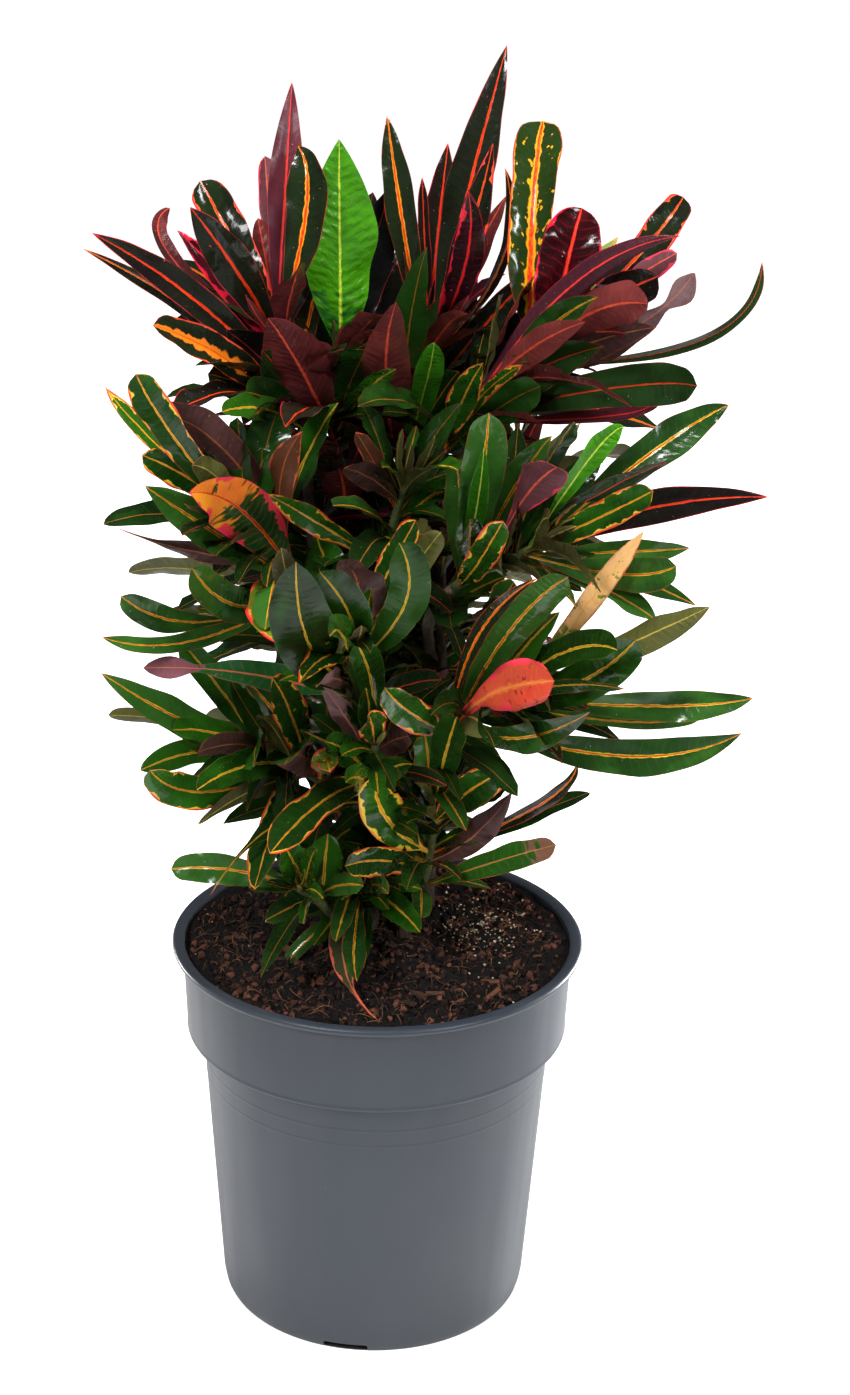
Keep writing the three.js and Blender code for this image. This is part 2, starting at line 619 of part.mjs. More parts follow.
// Height of the lumpy soil surface
function soilHeight(x, y) {
  const [longX, longY, start] = soil.longWave;
  const [shortX, shortY] = soil.shortWave;
  const swells = Math.sin(longX * x + start) * Math.cos(longY * y) + 0.5 * Math.sin(shortX * x + shortY * y);
  const heap = Math.max(0, 1 - Math.hypot(x - soil.heapAt[0], y - soil.heapAt[1]) / soil.heapRadius);
  return soil.level + soil.lump * swells + soil.heap * heap;
}

// Soil: fills the pot to just under its rim, with a lumpy top
function buildSoil() {
  const { wall, floor, sides } = pot;
  const slope = (pot.collarTop - pot.collarFoot) / (pot.rimHeight - pot.beadHeight - pot.collarFootHeight);
  const edge = pot.collarFoot - wall - soil.gap + slope * (soil.level - soil.lowEdge - pot.collarFootHeight);
  const profile = [
    [0, floor + soil.gap],
    [pot.footRadius - wall - soil.gap, floor + soil.gap],
    [pot.bodyTop - wall - soil.gap, pot.shoulderHeight + wall + soil.gap],
    [pot.collarFoot - wall - soil.gap, pot.collarFootHeight + wall + soil.gap],
    ...soil.rings.map((share) => [edge * share, soil.level - (share === 1 ? soil.lowEdge : 0)]),
    [0, soil.level],
  ].map(([r, z]) => new THREE.Vector2(r, z));
  const ball = new THREE.LatheGeometry(profile, sides);
  ball.rotateX(Math.PI / 2);
  const places = ball.attributes.position;
  for (let count = 0; count < places.count; count++) {
    const [x, y, z] = [places.getX(count), places.getY(count), places.getZ(count)];
    if (z > soil.level - soil.lowEdge / 2) places.setZ(count, soilHeight(x, y));
  }
  return toSolid(ball);
}

// Curve of a woody stem, from its buried foot to its top
function trunkCurve(trunk) {
  const places = trunk.path.map((place) => fromPhoto(...place));
  const foot = places[0].clone();
  foot.z = soil.level;
  const buried = foot.clone();
  buried.z -= wood.footDepth;
  const curve = new THREE.CatmullRomCurve3([buried, foot, ...places.slice(1)]);
  return { curve, foot, buried };
}

// Curve of a side branch, from its trunk to the root of the shoot that it bears
function branchCurve(trunk, shoot) {
  const from = trunk.curve.getPoint(shoot.reachUp);
  const to = shoot.root;
  const handle = stem.handle * from.distanceTo(to);
  return new THREE.CubicBezierCurve3(
    from, from.clone().addScaledVector(trunk.curve.getTangent(shoot.reachUp), handle),
    to.clone().addScaledVector(shoot.heading, -handle), to);
}

const group = new THREE.Group();
const nodes = {};

const trunkCurves = {};
for (const [name, trunk] of Object.entries(trunks)) trunkCurves[name] = trunkCurve(trunk);

for (const shoot of Object.values(shoots)) {
  const trunk = trunkCurves[shoot.trunk];
  shoot.root = fromPhoto(...shoot.root);
  const tip = fromPhoto(...shoot.tip);
  const chord = tip.clone().sub(shoot.root);
  const middle = shoot.root.clone().lerp(tip, 0.5);
  middle.z += stem.arch * chord.length();
  if (shoot.fork === 1) {
    shoot.root = trunk.curve.getPoint(1);
    shoot.heading = trunk.curve.getTangent(1);
  } else {
    shoot.heading = middle.clone().sub(shoot.root).normalize();
  }
  const start = shoot.root.clone().addScaledVector(shoot.heading, stem.seat);
  const control = start.clone().addScaledVector(shoot.heading, stem.handle * chord.length());
  shoot.curve = new THREE.QuadraticBezierCurve3(start, control, tip);
  // the buried foot is part of the curve, so a fork is measured above the soil
  const buriedShare = wood.footDepth / trunk.curve.getLength();
  shoot.reachUp = buriedShare + (1 - buriedShare) * shoot.fork;
}

for (const [name, trunk] of Object.entries(trunks)) {
  const { curve } = trunkCurves[name];
  const [footRadius, topRadius] = trunk.radius;
  const parts = [tube(curve, wood.steps, wood.sides, footRadius, topRadius)];
  for (const shoot of Object.values(shoots)) {
    if (shoot.trunk !== name || shoot.fork === 1) continue;
    const branch = branchCurve(trunkCurves[name], shoot);
    parts.push(tube(branch, wood.branchSteps, wood.branchSides, stem.radius + wood.branchSwell, stem.radius));
  }
  nodes[name] = { solid: wasm.Manifold.union(parts.map(toSolid)), material: bark };
}

nodes.pot = { solid: buildPot(), material: plastic };
let ground = buildSoil();
for (const [name, trunk] of Object.entries(trunks)) {
  const { foot, buried } = trunkCurves[name];
  const radius = trunk.radius[0] + wood.clearance;
  const depth = wood.footDepth + wood.holeAbove;
  const hole = new THREE.CylinderGeometry(radius, radius, depth, wood.holeSides);
  hole.rotateX(Math.PI / 2);
  hole.translate(foot.x, foot.y, buried.z - wood.holeBelow + depth / 2);
  ground = ground.subtract(toSolid(hole));
}
nodes.soil = { solid: ground, material: earth };

// What a new leaf has to stay clear of
const taken = Object.entries(nodes).map(([name, { solid }]) => ({ name, solid, outer: null }));
for (const [name, shoot] of Object.entries(shoots)) {
  const steps = Math.ceil(shoot.curve.getLength() / stem.step);
  shoot.parts = [toSolid(tube(shoot.curve, steps, stem.sides, stem.radius, stem.tip))];
  taken.push({ name, solid: shoot.parts[0], outer: null });
}
for (const item of taken) item.box = item.solid.boundingBox();

function boxesMeet(one, other) {
  return [0, 1, 2].every((axis) => one.min[axis] < other.max[axis] && other.min[axis] < one.max[axis]);
}

function solidsMeet(one, other) {
  const shared = one.intersect(other);
  const meet = !shared.isEmpty();
  shared.delete();
  return meet;
}

function isClear(name, leaf, mindOwn) {
  const swollen = toSolid(bladeGeometry(leaf, blade.gap, 0));
  const swollenOuter = toSolid(bladeGeometry(leaf, blade.gap, blade.outer));
  const box = swollen.boundingBox();
  const clear = taken.every((item) => {
    if (!boxesMeet(box, item.box)) return true;
    if (item.name !== name) return !solidsMeet(swollen, item.solid);
    return !mindOwn || !item.outer || !solidsMeet(swollenOuter, item.outer);
  });
  swollen.delete();
  swollenOuter.delete();
  return clear;
}

// Takes the first of a leaf's places that is clear, and leaves it out if none is
function placeLeaf(name, shoot, candidates) {
  for (const mindOwn of [true, false]) {
    for (const leaf of candidates) {
      if (!isClear(name, leaf, mindOwn)) continue;
      const solid = toSolid(bladeGeometry(leaf, 0, 0));
      const outer = toSolid(bladeGeometry(leaf, 0, blade.outer));
      taken.push({ name, solid, outer, box: solid.boundingBox() });
      shoot.parts.push(solid);
      return;
    }
  }
}

for (const [order, [name, shoot]] of Object.entries(shoots).entries()) {
  shoot.leaves.forEach((row, count) => {
    const seed = 1000 * order + 20 * count;
    placeLeaf(name, shoot, seenShifts.map((shift) => seenLeaf(shoot, row, seed, shift)));
  });
}
for (const [order, [name, shoot]] of Object.entries(shoots).entries()) {
  for (let count = 0; count < shoot.grown; count++) {
    const seed = 1000 * order + 500 + 20 * count;
    placeLeaf(name, shoot, grownShifts.map((shift) => grownLeaf(shoot, count, seed, shift)));
  }
}
for (const [name, shoot] of Object.entries(shoots)) {
  const material = name.includes("crown") ? darkLeaf : greenLeaf;
  nodes[name] = { solid: wasm.Manifold.union(shoot.parts), material };
}

for (const [name, { solid, material }] of Object.entries(nodes)) {
  group.add(toMesh(name, solid, material));
}

export default group;
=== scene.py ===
import json
import math
from random import Random

import bmesh
import bpy
from mathutils import Matrix, Quaternion, Vector, kdtree, noise


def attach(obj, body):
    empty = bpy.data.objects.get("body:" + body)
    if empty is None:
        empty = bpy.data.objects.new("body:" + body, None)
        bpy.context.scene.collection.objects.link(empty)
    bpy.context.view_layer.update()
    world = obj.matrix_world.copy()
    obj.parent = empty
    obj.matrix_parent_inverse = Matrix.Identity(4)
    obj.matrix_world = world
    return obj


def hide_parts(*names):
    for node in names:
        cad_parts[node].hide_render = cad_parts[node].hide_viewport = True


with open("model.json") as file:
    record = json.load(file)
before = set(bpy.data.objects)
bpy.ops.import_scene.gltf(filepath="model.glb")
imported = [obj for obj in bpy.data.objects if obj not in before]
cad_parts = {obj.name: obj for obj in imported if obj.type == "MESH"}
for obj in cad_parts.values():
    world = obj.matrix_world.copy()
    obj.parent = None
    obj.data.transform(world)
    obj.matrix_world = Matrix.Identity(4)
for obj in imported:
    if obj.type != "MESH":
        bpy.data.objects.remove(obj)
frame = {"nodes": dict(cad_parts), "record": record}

# without a seed the noise vectors differ from run to run
noise.seed_set(5)

# everything is worked out in millimetres and made metres when a piece is finished
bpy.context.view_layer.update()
metres = 0.001
goldenAngle = math.radians(137.5)

# the photograph's viewpoint, with its focal length in pixels
camera = {
    "eye": (0, -1200, 795),
    "down": 21.2,        # degrees
    "aside": 1.035,
    "roll": -1.2,
    "focal": 2600,
    "frame": (850, 1395),
    "sensor": 36,
    "farthest": 40,      # metres
}


def cameraAxes():
    down, aside, roll = (math.radians(camera[turn]) for turn in ("down", "aside", "roll"))
    forward = Vector((math.sin(aside) * math.cos(down), math.cos(aside) * math.cos(down), -math.sin(down)))
    level = Vector((math.cos(aside), -math.sin(aside), 0))
    above = level.cross(forward)
    right = math.cos(roll) * level - math.sin(roll) * above
    up = math.sin(roll) * level + math.cos(roll) * above
    return right, up, forward


def sightLine(x, y):
    right, up, forward = cameraAxes()
    width, height = camera["frame"]
    return forward * camera["focal"] + right * (x - width / 2) + up * (height / 2 - y)


# a place in the photograph, at a given depth along Y
def fromPhoto(x, y, depth):
    eye = Vector(camera["eye"])
    sight = sightLine(x, y)
    return eye + sight * ((depth - eye.y) / sight.y)


# a place in the photograph, on a level plane
def onLevel(x, y, height):
    eye = Vector(camera["eye"])
    sight = sightLine(x, y)
    return eye + sight * ((height - eye.z) / sight.z)


# puts an object in the scene, at a place and turn where they are given
def placed(name, data, matrix=None):
    holder = bpy.data.objects.new(name, data)
    if matrix:
        holder.matrix_world = matrix
    bpy.context.scene.collection.objects.link(holder)
    return holder


# each thing once, in an order that is the same in every run
def inOrder(things):
    return list(dict.fromkeys(things))


def meshFrom(name, bm):
    mesh = bpy.data.meshes.new(name)
    bm.to_mesh(mesh)
    bm.free()
    return mesh


def addCamera():
    right, up, forward = cameraAxes()
    lens = bpy.data.cameras.new("photoCamera")
    lens.sensor_width = camera["sensor"]
    lens.lens = camera["focal"] / camera["frame"][1] * camera["sensor"]
    lens.clip_end = camera["farthest"]
    turned = Matrix((right, up, -forward)).transposed().to_4x4()
    place = Matrix.Translation(Vector(camera["eye"]) * metres)
    bpy.context.scene.camera = placed("photoCamera", lens, place @ turned)


# a colour as a screen shows it, 0 to 255, in the linear values that Blender's sockets take
def tint(red, green, blue):
    def linear(value):
        share = value / 255
        return share / 12.92 if share <= 0.04045 else ((share + 0.055) / 1.055) ** 2.4
    return (linear(red), linear(green), linear(blue), 1)


# a node's output, which takes part in sums as a number does
class Value:
    def __init__(self, socket):
        self.socket = socket

    def __add__(self, other):
        return maths("ADD", self, other)

    def __mul__(self, other):
        return maths("MULTIPLY", self, other)

    def __sub__(self, other):
        return maths("SUBTRACT", self, other)

    def __rsub__(self, other):
        return maths("SUBTRACT", other, self)


def joined(node, sockets):
    for key, value in sockets.items():
        if isinstance(value, Value):
            node.id_data.links.new(value.socket, node.inputs[key])
        else:
            node.inputs[key].default_value = value
    return node


# a new node in the tree that its values come from, or in one that is given
def newNode(kind, sockets, tree=None, **settings):
    tree = tree or next(value.socket.id_data for value in sockets.values() if isinstance(value, Value))
    node = tree.nodes.new("ShaderNode" + kind)
    for name, setting in settings.items():
        setattr(node, name, setting)
    return joined(node, sockets)


def maths(operation, first, second=0.0):
    return Value(newNode("Math", {0: first, 1: second}, operation=operation).outputs[0])


def mapped(value, fromLow, fromHigh, toLow=0.0, toHigh=1.0, kind="LINEAR"):
    sockets = {0: value, 1: fromLow, 2: fromHigh, 3: toLow, 4: toHigh}
    return Value(newNode("MapRange", sockets, interpolation_type=kind).outputs[0])


def smooth(value, low, high):
    return mapped(value, low, high, kind="SMOOTHSTEP")


def mixed(share, first, second):
    return Value(newNode("Mix", {0: share, 6: first, 7: second}, data_type="RGBA").outputs[2])


def noisy(vector, scale, detail=2.0, roughness=0.5):
    sockets = {"Vector": vector, "Scale": scale, "Detail": detail, "Roughness": roughness}
    return Value(newNode("TexNoise", sockets).outputs["Fac"])


def vectorOf(x, y, z):
    return Value(newNode("CombineXYZ", {0: x, 1: y, 2: z}).outputs[0])


# the three parts of a vector that is kept on the mesh
def attribute(tree, name):
    kept = Value(newNode("Attribute", {}, tree, attribute_name=name).outputs["Vector"])
    return [Value(output) for output in newNode("SeparateXYZ", {0: kept}).outputs]


def objectPlace(tree, scale=(1, 1, 1)):
    place = Value(newNode("TexCoord", {}, tree).outputs["Object"])
    return Value(newNode("Mapping", {"Vector": place, "Scale": scale}).outputs[0])


# what kind of ray meets a surface: 1 for the kind that is named, else 0
def rayIs(tree, kind):
    return Value(newNode("LightPath", {}, tree).outputs[f"Is {kind} Ray"])


def newMaterial(name):
    material = bpy.data.materials.new(name)
    material.use_nodes = True
    tree = material.node_tree
    return material, tree, tree.nodes["Principled BSDF"]


def bumped(surface, height, strength, distance):
    sockets = {"Height": height, "Strength": strength, "Distance": distance}
    joined(surface, {"Normal": Value(newNode("Bump", sockets).outputs[0])})


# a node group with named sockets: its tree, the values it is given and the node that takes its results
def newGroup(name, inputs, outputs):
    tree = bpy.data.node_groups.new(name, "ShaderNodeTree")
    for label, value in inputs.items():
        kind = "NodeSocketColor" if isinstance(value, tuple) else "NodeSocketFloat"
        tree.interface.new_socket(label, in_out="INPUT", socket_type=kind).default_value = value
    for label, kind in outputs.items():
        tree.interface.new_socket(label, in_out="OUTPUT", socket_type="NodeSocket" + kind)
    given = {socket.name: Value(socket) for socket in tree.nodes.new("NodeGroupInput").outputs}
    return tree, given, tree.nodes.new("NodeGroupOutput")


def placedGroup(tree, name, values):
    node = newNode("Group", {}, tree, node_tree=bpy.data.node_groups[name])
    return {socket.name: Value(socket) for socket in joined(node, values).outputs}


# turns a bmesh in millimetres into a finished piece of the plant
def finishPiece(name, bm, materials, slot, nodes=()):
    bmesh.ops.scale(bm, vec=(metres, metres, metres), verts=bm.verts)
    mesh = meshFrom(name, bm)
    for material in materials:
        mesh.materials.append(material)
    piece = placed(name, mesh)
    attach(piece, "root")
    if nodes:
        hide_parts(*nodes)
    return piece


# the material slot that a CAD node has
def slotOf(node):
    return next(part["material_slot"] for part in frame["record"]["subparts"] if part["node"] == node)


def between(low, high, share):
    return low + (high - low) * share


# floor and light: places, aims and sizes in metres, power in watts
studio = {
    "floorSide": 30,
    "floorColour": (0.93, 0.93, 0.93, 1),
    # the paper under the pot is painted near black, a painted shadow; it ends at glowStart, where the glow begins
    "paintedShadowColour": (0.03, 0.03, 0.03, 1),
    "floorGlow": 0.75,
    "glowStart": 0.0785,     # the floor glows from here outwards, so the pot's foot keeps its thin shadow
    "glowEdge": 0.0015,
    "sky": 0.26,
    "mirroredSky": 0.06,
    "mirroredFloor": (0.42, 0.6, 0.2),     # how far off it turns grey in mirror images, and how grey
    # place, aim, size and power; the soft lights show in no mirror image, the small ones make the highlights
    "soft": {
        "overhead": ((0.1, -0.4, 2.0), (0, 0, 0.3), (1.0, 0.8), 42),
        "backSoft": ((0.2, 1.7, 1.4), (0, 0, 0.35), (0.8, 0.8), 24),
    },
    "sharp": {
        "keyLeft": ((-1.0, -1.6, 1.7), (0, 0, 0.35), (0.36, 0.42), 27),
        "fillRight": ((1.3, -1.5, 1.3), (0, 0, 0.3), (0.3, 0.5), 18),
        "edgeLeft": ((-1.2, 0.8, 0.14), (0, 0, 0.1), (0.5, 0.4), 16),
        "edgeRight": ((1.2, 0.8, 0.14), (0, 0, 0.1), (0.5, 0.4), 50),
    },
    "potOnly": ("edgeLeft", "edgeRight"),     # these light the pot's sides and leave the plant alone
}


def addLight(name, place, aim, size, power, mirrored):
    light = bpy.data.lights.new(name, "AREA")
    light.shape = "RECTANGLE"
    light.size, light.size_y = size
    light.energy = power
    turned = (Vector(aim) - Vector(place)).to_track_quat("-Z", "Y").to_matrix().to_4x4()
    placed(name, light, Matrix.Translation(place) @ turned).visible_glossy = mirrored


# plain white where the camera looks past the floor, soft grey light everywhere else
def addSky():
    world = bpy.data.worlds.new("studioWorld")
    world.use_nodes = True
    tree = world.node_tree
    unseen = mapped(rayIs(tree, "Glossy"), 0, 1, studio["sky"], studio["mirroredSky"])
    strength = mapped(rayIs(tree, "Camera"), 0, 1, unseen, 1)
    joined(tree.nodes["Background"], {"Color": (1, 1, 1, 1), "Strength": strength})
    bpy.context.scene.world = world


# the paper shows white to the camera, and lights nothing but what it mirrors
def paperMaterial():
    material, tree, surface = newMaterial("floorPaper")
    away = newNode("VectorMath", {0: objectPlace(tree)}, operation="LENGTH")
    away = Value(away.outputs["Value"])
    clear = smooth(away, studio["glowStart"] - studio["glowEdge"], studio["glowStart"])
    # a grey floor in mirror images keeps the gloss of the leaves from turning white
    near, far, grey = studio["mirroredFloor"]
    dimmed = rayIs(tree, "Glossy") * (1 - grey) * smooth(away, near, far)
    # inward of glowStart the paper takes the painted shadow colour, a painted shadow under the pot's foot and
    # through its notches
    shown = mixed(clear, studio["paintedShadowColour"], studio["floorColour"])
    joined(surface, {"Base Color": mixed(dimmed, shown, (0, 0, 0, 1)), "Roughness": 0.9,
                     "Emission Color": (1, 1, 1, 1),
                     "Emission Strength": rayIs(tree, "Camera") * studio["floorGlow"] * clear})
    return material


def addStudio():
    bpy.context.scene.view_settings.view_transform = "Standard"
    addSky()
    for kind in ("soft", "sharp"):
        for name, values in studio[kind].items():
            addLight(name, *values, kind == "sharp")
    bm = bmesh.new()
    bmesh.ops.create_grid(bm, x_segments=1, y_segments=1, size=studio["floorSide"] / 2)
    mesh = meshFrom("studioFloor", bm)
    mesh.materials.append(paperMaterial())
    floor = placed("studioFloor", mesh)


# the fine grain of a moulded surface
def addGrainGroup():
    tree, given, result = newGroup("grain", {"Scale": 400.0, "Contrast": 1.0}, {"Fac": "Float"})
    fine = noisy(objectPlace(tree), given["Scale"], 3.0, 0.6)
    joined(result, {"Fac": (fine - 0.5) * given["Contrast"]})


print("camera and studio")
addCamera()
addStudio()
addGrainGroup()

# pot: profile radii and heights as in the frame, with the fine mouldings added
pot = {
    "rimRadius": 105,
    "rimHeight": 199.5,
    "beadHeight": 4,
    "collarTop": 99.6,
    "collarFoot": 97.8,
    "collarFootHeight": 152.5,
    "shoulderHeight": 151,
    "bodyTop": 90,
    "footRadius": 79.5,
    "footRound": 8,           # height up to which the foot is rounded
    "wall": 2.2,
    "floor": 2.4,
    "rings": (135, 126),      # heights of the two faint mouldings
    "ringRise": 0.17,
    "ringWidth": 0.6,
    "lipInset": 1.2,          # the collar's wall is thinner towards its lip
    "lipDepth": 1.5,
    "notches": 4,
    "notchSize": (23, 14, 8),
    "notchTurn": -10,
    "notchRound": 1.2,
    "drainRadius": 5,
    "drainCircle": 48,
    "steps": 144,
    "sharpEdge": 38,          # degrees
    "colour": (45, 51, 61),
    "dull": (53, 58, 65),
    "dust": (150, 152, 152),
}


def plasticMaterial():
    material, tree, surface = newMaterial("mouldedPlastic")
    place = objectPlace(tree)
    cloud = noisy(place, 9, 3)
    streak = noisy(objectPlace(tree, (60, 60, 4)), 1, 4)
    speck = noisy(place, 260, 2)
    colour = mixed(smooth(cloud, 0.3, 0.7), tint(*pot["colour"]), tint(*pot["dull"]))
    colour = mixed(smooth(speck, 0.76, 0.84) * 0.3, colour, tint(*pot["dust"]))
    joined(surface, {"Base Color": colour, "Roughness": mapped(streak, 0.3, 0.7, 0.3, 0.44),
                     "Specular IOR Level": 0.5})
    grain = placedGroup(tree, "grain", {"Scale": 1400.0, "Contrast": 1.0})["Fac"]
    bumped(surface, grain, 0.12, 0.0004)
    return material


def potProfile():
    foot, neck, collar, lip = pot["footRadius"], pot["bodyTop"], pot["collarFoot"], pot["collarTop"]
    shoulder, low, top, bead = pot["shoulderHeight"], pot["collarFootHeight"], pot["rimHeight"], pot["beadHeight"]
    wall, floor, rim, footRound = pot["wall"], pot["floor"], pot["rimRadius"], pot["footRound"]
    slope = (neck - foot - 0.6) / (shoulder - footRound)
    outer = [(0, 0), (foot - 2.6, 0), (foot - 1.2, 0.6), (foot - 0.5, 2), (foot - 0.1, 4), (foot + 0.6, footRound)]
    # each ring and edge has a plain line of points on both sides, so its roundness stays narrow
    for height in reversed(pot["rings"]):
        for lift, rise in ((-2.2, 0), (-1, 0), (0, pot["ringRise"]), (1, 0), (2.2, 0)):
            level = height + lift * pot["ringWidth"]
            outer.append((foot + 0.6 + (level - footRound) * slope + rise, level))
    # the collar stands out over the body, with a thin moulded edge along its foot
    outer += [(neck - 0.2, shoulder - 2), (neck - 0.1, shoulder), (collar - 0.6, shoulder),
              (collar, shoulder + 0.5), (collar + 0.2, low - 0.2), (collar, low + 0.6), (collar, low + 1.6),
              (lip, top - bead - 2), (lip, top - bead - 1)]
    # the rolled rim is a quarter turn out and a half turn back in
    outer += [(lip + 0.5, top - bead - 0.2), (rim - 1.4, top - bead)]
    for turn in range(7):
        angle = math.radians(-50 + turn * 140 / 6)
        outer.append((rim - 2 + 2 * math.cos(angle), top - 2 + 2 * math.sin(angle)))
    lip -= pot["lipInset"]
    inner = [(lip + 2.4, top), (lip + 1.2, top - 0.4), (lip + 0.3, top - 1.2), (lip, top - bead - pot["lipDepth"]),
             (collar - wall, low + wall), (neck - wall, shoulder + wall), (foot - wall, floor), (0, floor)]
    return outer + inner


# turns a profile of radius and height about the pot's axis into a closed skin
def spun(profile, steps):
    bm = bmesh.new()
    verts = [bm.verts.new((radius, 0, height)) for radius, height in profile]
    edges = [bm.edges.new(pair) for pair in zip(verts, verts[1:])]
    bmesh.ops.spin(bm, geom=verts + edges, cent=(0, 0, 0), axis=(0, 0, 1), angle=2 * math.pi,
                   steps=steps, use_merge=True)
    bmesh.ops.remove_doubles(bm, verts=bm.verts, dist=0.001)
    bmesh.ops.recalc_face_normals(bm, faces=bm.faces)
    for face in bm.faces:
        face.smooth = True
    return bm


# cuts a cutter made in a bmesh, in millimetres, out of a piece
def cutAway(piece, cutter):
    bmesh.ops.scale(cutter, vec=(metres, metres, metres), verts=cutter.verts)
    holder = placed("cutter", meshFrom("cutter", cutter))
    cut = piece.modifiers.new("cut", "BOOLEAN")
    cut.object = holder
    cut.operation = "DIFFERENCE"
    cut.solver = "EXACT"
    bpy.context.view_layer.objects.active = piece
    bpy.ops.object.modifier_apply(modifier=cut.name)
    bpy.data.objects.remove(holder)


def addPot():
    bm = spun(potProfile(), pot["steps"])
    for edge in bm.edges:
        edge.smooth = edge.calc_face_angle(0) < math.radians(pot["sharpEdge"])
    piece = finishPiece("potShell", bm, [plasticMaterial()], "pot_plastic", ["pot"])
    cutter = bmesh.new()
    for count in range(pot["notches"]):
        turn = Matrix.Rotation(math.radians(pot["notchTurn"] + count * 360 / pot["notches"]), 4, "Z")
        place = Matrix.Translation((0, -pot["footRadius"], 0)) @ Matrix.Diagonal((*pot["notchSize"], 1))
        notch = bmesh.ops.create_cube(cutter, size=1, matrix=turn @ place)
        edges = inOrder(edge for vert in notch["verts"] for edge in vert.link_edges)
        upper = [edge for edge in edges if min(end.co.z for end in edge.verts) > 0]
        bmesh.ops.bevel(cutter, geom=upper, offset=pot["notchRound"], segments=3, profile=0.5,
                        affect="EDGES", material=-1)
        hole = Matrix.Translation((0, -pot["drainCircle"], 0))
        bmesh.ops.create_cone(cutter, cap_ends=True, segments=24, radius1=pot["drainRadius"],
                              radius2=pot["drainRadius"], depth=4 * pot["floor"], matrix=turn @ hole)
    cutAway(piece, cutter)
    return piece


# some lights reach one piece alone
def lightAlone(piece):
    alone = bpy.data.collections.new("litAlone")
    alone.objects.link(piece)
    for name in studio["potOnly"]:
        bpy.data.objects[name].light_linking.receiver_collection = alone


print("pot")
lightAlone(addPot())

# soil: surface lumps as in the frame, with crumbs, bark, fibres and pale grains on it
soil = {
    "level": 195.5,
    "lump": 1.4,
    "heap": 2,
    "gap": 0.15,
    "rings": 34,
    "steps": 150,
    "crumbs": 4600,
    "crumbSize": (0.35, 2.6),
    "chips": 90,
    "chipSize": (3, 9),
    "fibres": 760,
    "fibreLength": (2.5, 15),
    "fibreParts": 5,
    "redPatch": (272, 985, 34),           # where the crumbs are redder, and how far
    "grains": 270,
    "grainSize": (0.28, 0.75),
    "grainPatch": (482, 927, 20, 16),     # where they lie in the photograph, and how far they spread
    "strayGrains": 0.14,
    "batch": 200,
}
# the darker and the lighter colour of each kind of piece, and its roughness
soilColours = {
    "pottingSoil": ((8, 5, 5), (19, 12, 10), (62, 40, 32)),
    "soilCrumb": ((8, 5, 5), (104, 62, 46), 0.95),
    "barkChip": ((62, 40, 32), (98, 60, 40), 0.8),
    "soilFibre": ((62, 40, 32), (140, 98, 68), 0.85),
    "paleGrain": ((186, 164, 128), (226, 214, 192), 0.7),
}


def soilHeight(x, y):
    swells = math.sin(0.09 * x + 1.3) * math.cos(0.08 * y) + 0.5 * math.sin(0.19 * y - 0.12 * x)
    heap = max(0, 1 - math.hypot(x - 6, y - 38) / 60)
    return soil["level"] + soil["lump"] * swells + soil["heap"] * heap


# how far the soil reaches: the pot's inside at the soil's level
def soilRadius():
    low = pot["collarFootHeight"] + pot["wall"]
    rise = pot["rimHeight"] - pot["beadHeight"] - pot["lipDepth"] - low
    return between(pot["collarFoot"] - pot["wall"], pot["collarTop"] - pot["lipInset"],
                   min(1, (soil["level"] - low) / rise))


def earthMaterial():
    material, tree, surface = newMaterial("pottingSoil")
    place = objectPlace(tree)
    clump = noisy(place, 90, 4, 0.65)
    crumb = noisy(place, 420, 5, 0.7)
    black, dark, mid = (tint(*colour) for colour in soilColours["pottingSoil"])
    colour = mixed(smooth(clump, 0.35, 0.65), black, dark)
    colour = mixed(smooth(crumb, 0.58, 0.74), colour, mid)
    joined(surface, {"Base Color": colour, "Roughness": mapped(crumb, 0, 1, 0.75, 1)})
    bumped(surface, crumb + clump, 1.0, 0.0022)
    return material


# what lies on the soil: each piece takes its tone from its own attribute
def shredMaterial(name):
    first, second, roughness = soilColours[name]
    material, tree, surface = newMaterial(name)
    tone = attribute(tree, "shred")[0]
    streak = noisy(objectPlace(tree), 900, 3)
    share = tone + (streak - 0.5) * 0.8
    joined(surface, {"Base Color": mixed(smooth(share, 0, 1), tint(*first), tint(*second)),
                     "Roughness": roughness})
    bumped(surface, streak, 0.6, 0.0006)
    return material


# tube along places, closed at both ends, made from a flat grid rolled up round them
def sweep(bm, places, radii, sides, slot=0):
    steps = len(places) - 1
    verts = bmesh.ops.create_grid(bm, x_segments=sides, y_segments=steps, size=1)["verts"]
    frames = []
    for count, place in enumerate(places):
        along = (places[min(count + 1, steps)] - places[max(count - 1, 0)]).normalized()
        across = (Vector((0, 1, 0)) - along * along.y).normalized()
        frames.append((place, across, along.cross(across), radii[count]))
    for vert in verts:
        angle = (vert.co.x + 1) * math.pi
        place, across, aside, radius = frames[round((vert.co.y + 1) / 2 * steps)]
        vert.co = place + radius * (math.cos(angle) * across + math.sin(angle) * aside)
    faces = {face for vert in verts for face in vert.link_faces}
    for face in faces:
        face.smooth = True
        face.material_index = slot
    bmesh.ops.remove_doubles(bm, verts=verts, dist=0.0005)
    rims = {edge for face in faces for edge in face.edges if edge.is_boundary}
    for cap in bmesh.ops.holes_fill(bm, edges=list(rims), sides=sides)["faces"]:
        cap.material_index = slot
    return faces


